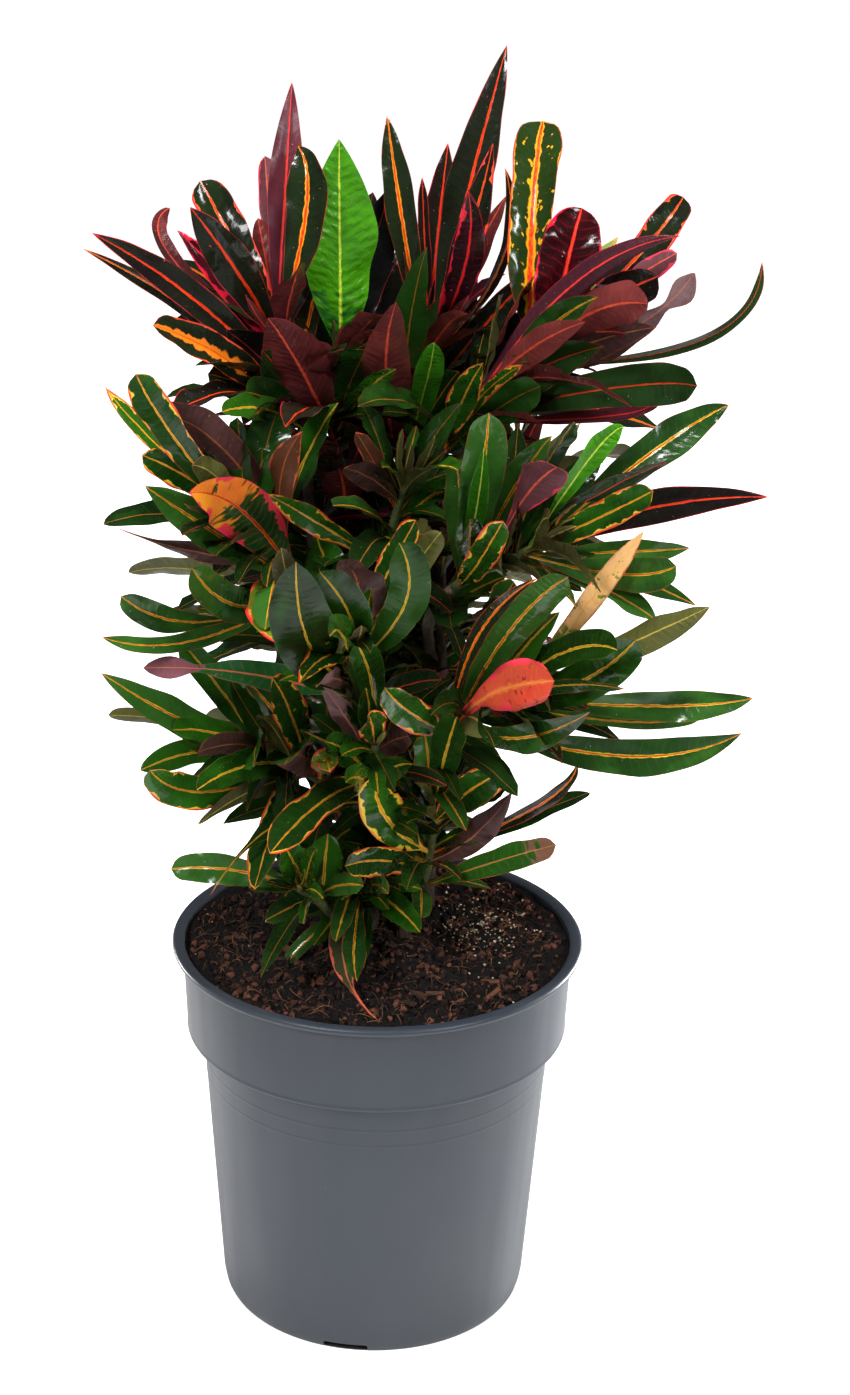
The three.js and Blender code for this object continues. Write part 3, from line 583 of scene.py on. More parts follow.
def addSoil():
    gap, wall, level = soil["gap"], pot["wall"], soil["level"]
    edge = soilRadius() - gap
    profile = [(0, pot["floor"] + gap), (pot["footRadius"] - wall - gap, pot["floor"] + gap),
               (pot["bodyTop"] - wall - gap, pot["shoulderHeight"] + wall + gap),
               (pot["collarFoot"] - wall - gap, pot["collarFootHeight"] + wall + gap),
               *((edge * (1 - count / soil["rings"]), level) for count in range(soil["rings"])), (0, level)]
    bm = spun(profile, soil["steps"])
    for vert in bm.verts:
        if vert.co.z > level - 0.01:
            x, y = vert.co.x, vert.co.y
            rough = noise.noise(Vector((x, y, 0)) * 0.11) * 2 + noise.noise(Vector((x, y, 9)) * 0.33) * 1.8
            rough += noise.noise(Vector((x, y, 5)) * 0.8) * 1.2 - 0.6
            inside = min(1, (edge - math.hypot(x, y)) / 8)
            vert.co.z = soilHeight(x, y) + rough * inside
    finishPiece("soilBed", bm, [earthMaterial()], "potting_soil", ["soil"])


# somewhere on the soil, kept off the wall
def soilSpot(random, margin=1.5):
    radius = (soilRadius() - margin) * math.sqrt(random.random())
    angle = random.uniform(0, 2 * math.pi)
    x, y = radius * math.cos(angle), radius * math.sin(angle)
    return Vector((x, y, soilHeight(x, y)))


def jitter(random, verts, size):
    for vert in verts:
        vert.co += Vector([random.uniform(-size, size) for _ in range(3)])


def redness(place):
    x, y, spread = soil["redPatch"]
    middle = onLevel(x, y, soil["level"])
    return math.exp(-((place.x - middle.x) ** 2 + (place.y - middle.y) ** 2) / (2 * spread ** 2))


# gives a shred its tone and its material
def mark(bm, verts, tone, slot):
    shred = bm.verts.layers.float_vector["shred"]
    for vert in verts:
        vert[shred] = Vector((tone, 0, 0))
        for face in vert.link_faces:
            face.material_index = slot


def turned(random, flat):
    return (Quaternion((0, 0, 1), random.uniform(0, 2 * math.pi)) @ Quaternion((1, 0, 0), random.gauss(0, flat))
            @ Quaternion((0, 1, 0), random.gauss(0, flat))).to_matrix().to_4x4()


def addCrumb(bm, random):
    size = between(*soil["crumbSize"], random.random() ** 3.4)
    place = soilSpot(random, 0.6 + size) + Vector((0, 0, size * 0.2))
    shape = Matrix.Diagonal((size, size * random.uniform(0.6, 1), size * random.uniform(0.5, 0.9), 1))
    matrix = Matrix.Translation(place) @ turned(random, 1) @ shape
    verts = bmesh.ops.create_icosphere(bm, subdivisions=1, radius=1, matrix=matrix)["verts"]
    jitter(random, verts, size * 0.28)
    mark(bm, verts, random.random() ** (3.2 - 1.6 * redness(place)), 0)


def addChip(bm, random):
    length = random.uniform(*soil["chipSize"]) * random.choice((0.6, 0.8, 1, 1.4))
    shape = Matrix.Diagonal((length, length * random.uniform(0.16, 0.42), length * random.uniform(0.1, 0.2), 1))
    place = soilSpot(random, 6) + Vector((0, 0, length * 0.08))
    matrix = Matrix.Translation(place) @ turned(random, 0.3) @ shape
    verts = bmesh.ops.create_cube(bm, size=1, matrix=matrix)["verts"]
    edges = inOrder(edge for vert in verts for edge in vert.link_edges)
    cut = bmesh.ops.subdivide_edges(bm, edges=edges, cuts=1, use_grid_fill=True)["geom"]
    verts = inOrder(vert for face in cut if isinstance(face, bmesh.types.BMFace) for vert in face.verts)
    jitter(random, verts, length * 0.07)
    mark(bm, verts, random.random(), 1)


def addFibre(bm, random):
    length = between(*soil["fibreLength"], random.random() ** 1.6)
    place = soilSpot(random, 6)
    heading = Quaternion((0, 0, 1), random.uniform(0, 2 * math.pi)) @ Vector((1, 0, 0))
    bend = Vector((-heading.y, heading.x, 0)) * random.gauss(0, 0.25) * length
    reach = soilRadius() - 3
    lift = random.uniform(1.2, 3.6)
    places, swells = [], []
    for step in range(soil["fibreParts"] + 1):
        share = step / soil["fibreParts"]
        swell = math.sin(share * math.pi)
        spot = place + heading * length * (share - 0.5) + bend * swell
        away = math.hypot(spot.x, spot.y)
        if away > reach:
            spot *= reach / away
        spot.z = soilHeight(spot.x, spot.y) + lift * swell + random.uniform(0, 0.6)
        places.append(spot)
        swells.append(swell)
    thick = random.uniform(0.07, 0.2)
    faces = sweep(bm, places, [thick * (0.5 + swell) for swell in swells], 3, 2)
    mark(bm, {vert for face in faces for vert in face.verts}, random.random() ** 2, 2)


def addGrain(bm, random):
    x, y, spreadX, spreadY = soil["grainPatch"]
    if random.random() < soil["strayGrains"]:
        place = soilSpot(random)
    else:
        place = onLevel(random.gauss(x, spreadX), random.gauss(y, spreadY), soil["level"])
        place *= min(1, (soilRadius() - 5) / math.hypot(place.x, place.y))
        place.z = soilHeight(place.x, place.y)
    size = random.uniform(*soil["grainSize"]) * random.choice((0.7, 1, 1, 1.3))
    matrix = Matrix.Translation(place + Vector((0, 0, 1.1))) @ Matrix.Diagonal((size, size, size * 0.8, 1))
    verts = bmesh.ops.create_icosphere(bm, subdivisions=1, radius=1, matrix=matrix)["verts"]
    jitter(random, verts, size * 0.3)
    mark(bm, verts, random.random(), 3)


def addShreds():
    random = Random(21)
    bm = bmesh.new()
    bm.verts.layers.float_vector.new("shred")
    # crumbs and fibres are made in small batches, because every step on a large mesh is slow
    for kind, total in ((addCrumb, soil["crumbs"]), (addFibre, soil["fibres"])):
        for start in range(0, total, soil["batch"]):
            few = bmesh.new()
            few.verts.layers.float_vector.new("shred")
            for _ in range(min(soil["batch"], total - start)):
                kind(few, random)
            mesh = meshFrom("shredBatch", few)
            bm.from_mesh(mesh)
            bpy.data.meshes.remove(mesh)
    for kind, total in ((addChip, soil["chips"]), (addGrain, soil["grains"])):
        for _ in range(total):
            kind(bm, random)
    bmesh.ops.recalc_face_normals(bm, faces=bm.faces)
    kinds = ("soilCrumb", "barkChip", "soilFibre", "paleGrain")
    finishPiece("soilShreds", bm, [shredMaterial(kind) for kind in kinds], "potting_soil")


print("soil")
addSoil()
addShreds()

# woody stems: where each one shows in the photograph (x, y) and its depth, from the soil up
trunks = {
    "trunk_front": {"radius": (4.6, 3.4), "path": ((403, 936, 4), (410, 915, 2), (419, 893, -2))},
    "trunk_low": {"radius": (4, 3), "path": ((371, 930, 11), (372, 911, 9), (368, 897, 2))},
    "trunk_left": {"radius": (4.8, 2.7), "path": ((356, 905, 41), (338, 800, 34), (322, 640, 20), (304, 440, 4))},
    "trunk_mid": {"radius": (4.8, 2.7), "path": ((386, 902, 45), (378, 760, 40), (358, 600, 22), (338, 458, 16))},
    "trunk_right": {"radius": (5, 2.7), "path": ((426, 905, 42), (436, 780, 30), (440, 640, 14), (440, 474, 2))},
    "trunk_back": {"radius": (4.8, 2.7), "path": ((404, 880, 73), (408, 760, 66), (408, 600, 50), (402, 484, 34))},
}
wood = {
    "footDepth": 34,
    "seat": 0.3,
    "sides": 12,
    "step": 4,
    "branch": (3.1, 2.6),
    "tip": 1.9,
    "scarGap": 17,
    "scarRise": 0.5,
    "wander": 1.2,
}
# the two broad tones of each kind of bark, and its fine one
barks = {
    "greyBark": ((80, 66, 53), (56, 45, 37), (122, 105, 87)),
    "youngBark": ((84, 78, 56), (70, 62, 50), (124, 116, 88)),
    "stemDarkStem": ((52, 40, 34), (66, 52, 34), (88, 66, 44)),
    "stemGreenStem": ((78, 92, 44), (66, 74, 40), (112, 120, 66)),
}

# leafy shoots: the trunk that bears each one, how far up it the branch forks off, the shoot's root and tip,
# how many leaves grow by rule and how long they are
shoots = {
    "shoot_crown_left": ("trunk_left", 1, (303, 436, 4), (277, 336, -6), 5, 92),
    "shoot_crown_mid": ("trunk_mid", 1, (338, 454, 16), (340, 366, 12), 5, 86),
    "shoot_crown_tall": ("trunk_back", 1, (402, 480, 34), (430, 340, 22), 6, 90),
    "shoot_crown_right": ("trunk_right", 1, (441, 470, 2), (556, 346, -14), 7, 92),
    "shoot_mid_left": ("trunk_left", 0.56, (302, 592, -16), (238, 514, -50), 5, 84),
    "shoot_mid_front": ("trunk_mid", 0.36, (352, 706, -44), (350, 640, -78), 2, 74),
    "shoot_mid_right": ("trunk_right", 0.56, (454, 588, -24), (536, 548, -54), 5, 84),
    "shoot_low_right": ("trunk_right", 0.28, (448, 736, -30), (528, 690, -62), 5, 82),
    "shoot_low_left": ("trunk_left", 0.24, (322, 782, 2), (252, 748, -36), 5, 84),
    "shoot_foot_left": ("trunk_low", 0.1, (330, 912, -23), (298, 888, -52), 3, 58),
    "shoot_foot_front": ("trunk_low", 1, (354, 897, -6), (352, 884, -22), 2, 52),
    "shoot_foot_right": ("trunk_front", 1, (420, 889, 7), (434, 806, -14), 4, 66),
    "shoot_mid_core": ("trunk_mid", 0.66, (384, 566, -6), (404, 486, -26), 5, 80),
    "shoot_low_core": ("trunk_mid", 0.3, (370, 806, -22), (376, 742, -54), 4, 74),
    "shoot_back_left": ("trunk_left", 0.46, (300, 640, 52), (256, 580, 84), 9, 86),
    "shoot_back_crown": ("trunk_mid", 0.74, (352, 520, 60), (352, 440, 84), 9, 86),
    "shoot_back_right": ("trunk_right", 0.6, (462, 560, 56), (520, 480, 84), 9, 88),
    "shoot_back_low": ("trunk_back", 0.3, (430, 740, 96), (490, 680, 120), 9, 80),
    "shoot_back_foot": ("trunk_mid", 0.22, (366, 776, 88), (322, 716, 116), 9, 80),
    "shoot_back_mid": ("trunk_back", 0.62, (410, 610, 84), (414, 536, 116), 9, 82),
}
shoots = {name: dict(zip(("trunk", "fork", "root", "tip", "grown", "reach"), row)) for name, row in shoots.items()}

# leaves that the photograph shows: where the tip is in it and how deep, place on the shoot, width, turn from
# facing the viewer, outline, look, and where the rib passes half way if it isn't a plain arch
seen = {
    "shoot_crown_left": [
        (92, 233, -46, 0.45, 15, 12, "lance", "ember"), (83, 249, -12, 0.4, 8, -30, "lance", "emberGold"),
        (177, 230, -10, 0.72, 12, 20, "lance", "crimson"),
        (170, 208, 16, 0.8, 9, 150, "oval", "wine", 174, 260),
        (190, 207, -34, 0.88, 20, -8, "lance", "ember"),
        (200, 181, -4, 0.94, 20, 12, "oblong", "emberEdge"),
        (193, 194, 22, 0.86, 11, -20, "lance", "ember"), (153, 325, -52, 0.2, 16, 25, "oblong", "patch"),
        (265, 156, 34, 0.96, 11, 160, "spoon", "rose"), (258, 218, 12, 0.9, 12, 170, "oval", "wine"),
        (292, 82, 22, 1, 16, 10, "lance", "maroon"),
        (298, 146, 4, 1, 20, -8, "lance", "emberGold", 306, 212),
        (222, 412, -70, 0.1, 14, 30, "oval", "green"),
    ],
    "shoot_crown_mid": [
        (339, 139, 0, 0.95, 33, 4, "lance", "lime"), (360, 182, 30, 0.9, 12, -20, "lance", "emberGold"),
        (391, 186, 34, 0.94, 22, 10, "lance", "night"),
        (268, 318, -48, 0.15, 26, 172, "lance", "wine", 304, 374),
        (396, 369, -50, 0.3, 12, 20, "lance", "green"),
    ],
    "shoot_crown_tall": [
        (387, 116, 24, 0.9, 15, 14, "lance", "emberGold", 402, 220),
        (422, 177, 44, 0.96, 6, 0, "strap", "ember"),
        (507, 45, 34, 0.98, 20, -10, "lance", "ember", 466, 200),
        (448, 143, 66, 0.92, 16, 16, "lance", "ember"),
        (493, 143, 4, 0.96, 14, -20, "lance", "emberEdge", 466, 246),
        (468, 190, -24, 0.9, 16, 10, "lance", "crimson", 464, 270),
        (505, 168, 14, 0.86, 7, 40, "strap", "emberGold", 498, 270),
        (507, 195, 50, 0.8, 13, 150, "lance", "wine"),
        (427, 247, -30, 0.5, 18, -14, "lance", "deepGreen", 408, 338),
        (434, 343, -58, 0.15, 13, 10, "oval", "fresh", 424, 392),
        (396, 302, -62, 0.05, 22, 178, "lance", "wine", 386, 380),
        (552, 256, 6, 0.45, 15, 24, "lance", "ember"),
    ],
    "shoot_crown_right": [
        (680, 236, -54, 0.02, 12, 165, "lance", "maroon", 552, 304),
        (543, 121, 24, 0.88, 23, -8, "tongue", "splash", 532, 220),
        (582, 208, -8, 0.98, 29, 8, "oval", "net", 566, 270),
        (618, 237, 20, 0.94, 14, -34, "lance", "pale"),
        (683, 197, 8, 0.92, 16, 16, "oblong", "emberEdge", 634, 260),
        (677, 253, -26, 0.98, 11, 150, "spoon", "rose"),
        (695, 273, -44, 0.8, 17, 160, "waist", "mauve", 624, 334),
        (658, 276, -16, 0.8, 21, 20, "oblong", "ember"), (598, 297, -64, 0.7, 14, -16, "lance", "greenRed"),
        (585, 322, -78, 0.55, 14, 168, "lance", "wine"),
        (762, 262, -6, 0.86, 6, 25, "strap", "emberGreen", 702, 340),
        (697, 386, -66, 0.42, 19, 4, "oblong", "emberGreen", 612, 388),
        (660, 395, -34, 0.4, 10, -35, "lance", "maroon", 610, 416),
        (483, 363, -58, 0.14, 14, -10, "lance", "greenEdge"),
        (522, 365, -66, 0.22, 7, 20, "strap", "greenEdge"),
    ],
    "shoot_mid_left": [
        (153, 411, -62, 0.3, 18, 166, "oblong", "brown", 234, 460),
        (142, 455, -66, 0.85, 14, -14, "oblong", "greenEdge"),
        (145, 486, -84, 0.1, 20, 6, "lance", "greenRed", 214, 532),
        (148, 505, -56, 0.6, 10, 24, "oblong", "green"),
        (115, 527, -50, 0.4, 12, 150, "thread", "brown", 190, 550),
        (192, 568, -96, 0.05, 18, 14, "oblong", "greenRed", 240, 606),
        (121, 596, -70, 0, 14, -10, "spoon", "greenRed", 200, 622),
        (102, 637, -90, 0, 9, 16, "strap", "greenRed", 196, 640),
        (189, 493, -104, 0, 27, -4, "lance", "sunset", 246, 514),
        (286, 646, -112, 0.35, 24, 4, "lance", "mottled", 272, 604),
        (105, 387, -40, 0.98, 10, 30, "lance", "greenEdge", 158, 446),
        (136, 374, -56, 0.95, 16, -12, "oblong", "greenEdge", 176, 440),
        (303, 431, -70, 0.2, 14, 150, "lance", "copper", 280, 488),
    ],
    "shoot_mid_front": [
        # the first three leaves take the darker copy of the plain green, painted shade
        (296, 562, -120, 0.4, 30, 8, "oval", "shadeGreen", 310, 646),
        (320, 572, -128, 0.86, 20, -10, "oblong", "shadeGreen", 350, 616),
        (399, 543, -104, 0.6, 19, 6, "oblong", "shadeGreen", 404, 606),
        (340, 560, -96, 0.94, 24, 172, "oval", "brown", 360, 592),
        (416, 520, -88, 0.8, 13, -20, "oblong", "greenEdge"),
        (441, 532, -78, 0.6, 13, 168, "oblong", "olive"), (330, 636, -138, 0.6, 16, 30, "lance", "green"),
        (316, 687, -128, 0.2, 10, 160, "lance", "mauve"),
        (281, 548, -108, 0.5, 14, 165, "oval", "olive", 304, 616),
        (143, 668, -70, 0.1, 14, 10, "waist", "mauveTip", 250, 674),
    ],
    "shoot_mid_right": [
        (503, 521, -104, 0.05, 14, 14, "oblong", "greenEdge", 476, 566),
        (455, 458, -54, 0.05, 15, -8, "oval", "greenRed", 462, 520),
        (557, 467, -92, 0.5, 20, 170, "spoon", "rose", 522, 502),
        (769, 497, -40, 0.7, 16, 6, "lance", "ember"),
        (653, 491, -98, 0.6, 14, -12, "oblong", "greenEdge", 590, 522),
        (667, 462, -66, 0.74, 12, 30, "lance", "emberGreen"),
        (690, 548, -64, 0.8, 12, 20, "lance", "greenRed", 620, 552),
        (676, 566, -92, 0.84, 16, 10, "oblong", "greenRed", 616, 574),
        (697, 606, -62, 0.7, 13, -18, "lance", "greenRed"), (470, 520, -106, 0.2, 12, 25, "lance", "green"),
        (729, 405, -52, 0.95, 18, -6, "lance", "greenRed", 650, 454),
        (624, 427, -70, 0.9, 11, 20, "lance", "lime", 590, 458),
        (489, 413, -92, 0.05, 20, 10, "oblong", "greenRed", 478, 500),
        (552, 436, -80, 0.2, 15, -12, "lance", "greenRed", 512, 492),
        (484, 447, -88, 0.05, 9, 0, "lance", "fresh", 476, 512),
    ],
    "shoot_low_right": [
        (554, 681, -146, 0.02, 23, 4, "spoon", "coral", 488, 696),
        (636, 640, -112, 0.62, 20, 10, "oblong", "green", 576, 684),
        (617, 650, -128, 0.4, 15, -14, "oblong", "green", 556, 656),
        (753, 698, -70, 0.8, 15, 8, "lance", "greenRed", 660, 706),
        (706, 712, -56, 0.7, 8, -24, "strap", "greenRed", 630, 722),
        (742, 733, -100, 0.3, 18, 4, "lance", "greenRed", 622, 756),
        (590, 712, -112, 0.2, 15, 18, "lance", "greenRed", 520, 738),
        (624, 689, -120, 0.5, 8, 40, "strap", "greenRed"),
        (494, 746, -134, 0.1, 17, 166, "oval", "olive", 474, 718),
        (560, 612, -92, 0.4, 15, -10, "lance", "green"),
        (385, 688, -100, 0.02, 17, -8, "oval", "greenEdge", 412, 714),
        (644, 531, -90, 0.9, 11, -10, "lance", "peach", 590, 602),
        (710, 607, -92, 0.95, 15, 164, "lance", "olive", 634, 642),
        (568, 577, -110, 0, 17, 8, "oblong", "greenRed", 506, 636),
        (538, 578, -132, 0, 8, -20, "lance", "emberGold", 476, 640),
    ],
    "shoot_low_left": [
        (101, 673, -74, 0.62, 17, 8, "lance", "greenRed", 190, 724),
        (182, 643, -30, 0.86, 14, -6, "oblong", "green"), (108, 715, -44, 0.8, 9, 158, "spoon", "olive"),
        (230, 678, -30, 0.56, 12, 16, "lance", "deepGreen", 254, 720),
        (173, 730, -62, 0.9, 15, 24, "oblong", "green"), (198, 752, -96, 0.6, 12, 168, "oblong", "brown"),
        (150, 770, -86, 0.4, 17, -8, "oblong", "greenEdge", 206, 792),
        (197, 790, -100, 0.3, 16, 14, "oval", "green"), (285, 764, -116, 0.1, 21, 172, "oval", "brown"),
        (330, 772, -110, 0.02, 13, 26, "oval", "mottled"),
        (272, 678, -96, 0.2, 17, 18, "oval", "greenEdge"), (198, 824, -70, 0.14, 10, 160, "oval", "olive"),
        (262, 716, -70, 0.44, 13, 150, "oval", "olive"),
    ],
    "shoot_foot_left": [
        (171, 869, -72, 0.9, 15, -6, "oblong", "greenRed"), (222, 866, -60, 0.86, 9, 26, "lance", "fresh"),
        (284, 846, -64, 0.7, 16, 12, "oval", "green"), (328, 834, -50, 0.3, 17, 8, "oval", "green"),
    ],
    "shoot_foot_front": [
        (379, 1021, -92, 0.7, 14, 14, "thread", "bronze", 344, 962),
        (357, 981, -78, 0.5, 12, -12, "lance", "greenRed", 354, 944),
        (388, 894, -60, 0.3, 13, 20, "lance", "greenRed"), (420, 932, -54, 0.4, 14, 10, "oval", "green"),
        (398, 905, -24, 0.3, 12, 24, "oval", "bronze"), (265, 921, -72, 0.5, 15, 8, "oval", "greenRed"),
    ],
    "shoot_foot_right": [
        (375, 778, -52, 0.5, 21, 6, "oval", "goldEdge", 388, 820),
        (345, 866, -50, 0.25, 15, -14, "oblong", "greenEdge"),
        (425, 735, -44, 0.9, 15, 10, "oblong", "greenRed"),
        (457, 717, -34, 0.96, 16, -10, "oblong", "green"),
        (500, 773, -44, 0.8, 18, 12, "oblong", "greenEdge"),
        (556, 845, -58, 0.05, 14, 8, "oblong", "tanTip", 494, 862),
        (512, 792, -20, 0.4, 15, 160, "lance", "mauve", 472, 838),
        (577, 764, -8, 0.5, 8, 24, "lance", "emberGold", 538, 806),
        (590, 793, 6, 0.4, 11, -30, "lance", "deepGreen", 540, 812),
        (403, 736, -10, 0.86, 15, -12, "lance", "green"),
    ],
    "shoot_mid_core": [
        (356, 432, -44, 0.7, 9, 165, "strap", "copper"),
        (383, 460, -30, 0.85, 10, -20, "lance", "deepGreen"),
        (408, 442, -14, 0.95, 8, 150, "lance", "brown"), (447, 450, -34, 0.85, 10, 20, "lance", "greenRed"),
        (462, 402, -20, 0.95, 12, -16, "lance", "deepGreen"),
        (345, 468, -60, 0.8, 13, 160, "oval", "brown"), (436, 538, -86, 0.2, 14, 160, "oval", "olive"),
        (268, 494, -84, 0, 12, -24, "lance", "greenEdge", 320, 524),
    ],
    "shoot_low_core": [
        (366, 688, -92, 0.7, 11, -20, "lance", "green"),
        (368, 716, -112, 0.85, 15, 12, "lance", "greenEdge"),
        (322, 686, -84, 0.6, 13, 160, "lance", "mauve"), (408, 736, -92, 0.8, 14, 170, "oval", "brown"),
        (326, 742, -84, 0.4, 15, 20, "oval", "green"), (346, 782, -96, 0.2, 13, -10, "oval", "green"),
        (412, 764, -80, 0.3, 13, 10, "lance", "green"), (300, 730, -66, 0.5, 14, -20, "lance", "green"),
        (356, 642, -100, 0.95, 15, 24, "oblong", "green", 372, 686),
        (210, 896, -84, 0.02, 14, 10, "thread", "green", 280, 822),
    ],
}

# leaves half hidden behind the large ones, given as those are
halfHidden = {
    "shoot_crown_left": [
        (304, 196, 34, 0.9, 22, 6, "lance", "night"), (236, 262, 24, 0.8, 20, -10, "lance", "night"),
        (212, 298, 0, 0.6, 18, 14, "lance", "ember"), (252, 290, 12, 0.7, 22, -6, "lance", "deepGreen"),
        (226, 330, -24, 0.4, 20, 10, "lance", "night"),
        (208, 374, -26, 0.2, 18, -12, "oblong", "deepGreen"),
        (262, 350, -34, 0.3, 20, 8, "lance", "emberGreen"),
        (246, 392, -40, 0.1, 18, 12, "oblong", "deepGreen"),
    ],
    "shoot_crown_mid": [
        (373, 192, 50, 0.9, 28, 4, "lance", "night"), (320, 230, 24, 0.8, 24, -6, "lance", "deepGreen"),
        (402, 250, 40, 0.7, 26, 8, "lance", "night"), (316, 340, -14, 0.3, 22, 166, "lance", "wine"),
        (366, 350, -20, 0.4, 20, 10, "oblong", "deepGreen"),
    ],
    "shoot_crown_tall": [
        (476, 256, 40, 0.7, 22, 12, "lance", "night"), (448, 292, 16, 0.5, 20, -8, "lance", "emberGreen"),
        (522, 292, 24, 0.5, 20, 10, "lance", "night"), (458, 372, -24, 0.1, 18, 8, "oblong", "deepGreen"),
    ],
    "shoot_crown_right": [
        (604, 262, 16, 0.9, 24, 8, "lance", "night"), (640, 296, -14, 0.8, 22, 12, "lance", "emberGreen"),
        (657, 327, -46, 0.5, 18, 168, "lance", "brown"),
        (604, 346, -40, 0.4, 20, 10, "lance", "emberGreen"), (560, 300, 0, 0.6, 22, -8, "lance", "night"),
        (540, 386, -40, 0.1, 18, 12, "oblong", "deepGreen"),
        (590, 378, -30, 0.3, 16, -10, "lance", "night"),
    ],
    "shoot_mid_left": [
        (262, 448, -40, 0.7, 18, 10, "oblong", "deepGreen"),
        (226, 476, -44, 0.8, 18, -8, "oblong", "deepGreen"),
        (200, 540, -60, 0.5, 18, 12, "oblong", "deepGreen"),
        (276, 414, -34, 0.9, 22, -6, "oblong", "deepGreen"),
    ],
    "shoot_mid_right": [
        (562, 498, -40, 0.6, 18, 10, "oblong", "deepGreen"),
        (540, 446, -30, 0.8, 18, -8, "lance", "deepGreen"), (600, 506, -50, 0.8, 18, 12, "oblong", "green"),
        (518, 424, -40, 0.7, 16, 4, "lance", "deepGreen"),
        (604, 450, -40, 0.9, 16, -10, "lance", "deepGreen"),
        (500, 470, -50, 0.4, 18, 10, "oblong", "deepGreen"),
    ],
    "shoot_low_right": [
        (498, 596, -40, 0.6, 18, 8, "oblong", "deepGreen"),
        (536, 630, -60, 0.6, 18, -8, "oblong", "deepGreen"),
        (480, 660, -50, 0.3, 16, 10, "oblong", "deepGreen"),
        (560, 736, -70, 0.4, 18, 10, "oblong", "deepGreen"),
    ],
}

# how every leaf is built; the shifts are the places that a leaf was tried in to stay clear of its neighbours
leafForm = {
    "rooted": -0.4,
    "viaLift": 4,
    "arch": 0.07,
    "stalk": 1.2,
    "skin": 0.22,
    "ribWidth": 1.1,
    "channel": 0.4,
    "keel": 0.75,
    "crowding": 1.25,
    "ruffle": 0.1,
    "uneven": 0.13,
    "swell": 0.05,
    "match": 0.12,
    "largeGrid": (30, 8),
    "smallGrid": (10, 4),
    "coat": 0.3,
    "dullCoat": 0.03,         # undersides and old leaves hardly shine
    "dullFrom": 0.3,
    "fill": 17,
    "fillLength": (0.5, 0.85),
    "branchShare": 0.45,
    "buds": 5,
    "bud": 40,
    "seenShifts": (0, -7, 7, -14, 14, -22, 22, -32, 32, -44, 44),
    "grownShifts": ((0, 0), (14, 0), (-14, 0), (0, 14), (28, 8), (-28, 8), (0, -16), (45, 0), (-45, 0),
                    (20, 30), (-20, 30)),
    "upperLooks": ("ember", "emberGold", "emberEdge", "ember", "deepGreen", "night", "maroon", "emberGold"),
    "lowerLooks": ("green", "greenRed", "greenEdge", "green", "deepGreen", "greenRed", "deepGreen", "greenEdge"),
    "footLooks": ("green", "greenRed", "deepGreen", "greenRed"),
    "upperFill": ("night", "deepGreen", "emberGreen", "deepGreen", "night", "maroon"),
    "lowerFill": ("deepGreen", "green", "deepGreen", "greenRed", "deepGreen", "emberGreen"),
}
# leaves deep in the bush, which grow round the trunks themselves
inner = {"leaves": 210, "from": 0.42, "upperFrom": 0.86, "length": (42, 74), "rise": (-6, 62), "width": (0.2, 0.3)}


# whole-number draw between 0 and 1, the same as the solids were grown with
def draw(seed):
    full = 0xFFFFFFFF
    value = ((seed ^ (seed >> 15)) * 0x2C1B3C6D) & full
    value = ((value ^ (value >> 12)) * 0x297A2D39) & full
    return (value ^ (value >> 15)) / (full + 1)


# place and heading at a share of the way along a curve with these handles
def alongBezier(handles, share):
    while len(handles) > 2:
        handles = [first.lerp(second, share) for first, second in zip(handles, handles[1:])]
    return handles[0].lerp(handles[1], share), (handles[1] - handles[0]).normalized()


# centripetal spline through places
def alongSpline(places, share):
    last = len(places) - 1
    spot = min(int(share * last), last - 1)
    weight = share * last - spot
    before = places[spot - 1] if spot > 0 else places[0] * 2 - places[1]
    after = places[spot + 2] if spot + 2 <= last else places[last] * 2 - places[last - 1]
    start, end = places[spot], places[spot + 1]
    gaps = [(b - a).length ** 0.5 for a, b in ((before, start), (start, end), (end, after))]
    leave = (start - before) / gaps[0] - (end - before) / (gaps[0] + gaps[1]) + (end - start) / gaps[1]
    arrive = (end - start) / gaps[1] - (after - start) / (gaps[1] + gaps[2]) + (after - end) / gaps[2]
    leave, arrive = leave * gaps[1], arrive * gaps[1]
    square = (end - start) * 3 - leave * 2 - arrive
    cube = (start - end) * 2 + leave + arrive
    return start + leave * weight + square * weight ** 2 + cube * weight ** 3


def splineHeading(places, share, step=0.0001):
    return (alongSpline(places, min(1, share + step)) - alongSpline(places, max(0, share - step))).normalized()


def lengthOf(places):
    return sum((b - a).length for a, b in zip(places, places[1:]))


def stepped(steps):
    return [count / steps for count in range(steps + 1)]


# the part of a vector square to a heading, made one long
def squareTo(vector, heading):
    return (vector - heading * vector.dot(heading)).normalized()


# the heading of a leaf that grows from a stem, turned round it and risen from it, and the turn's own heading
def growing(along, turn, rise):
    across = Quaternion(along, turn) @ squareTo(Vector((0, 1, 0)), along)
    return across * math.cos(rise) + along * math.sin(rise), across


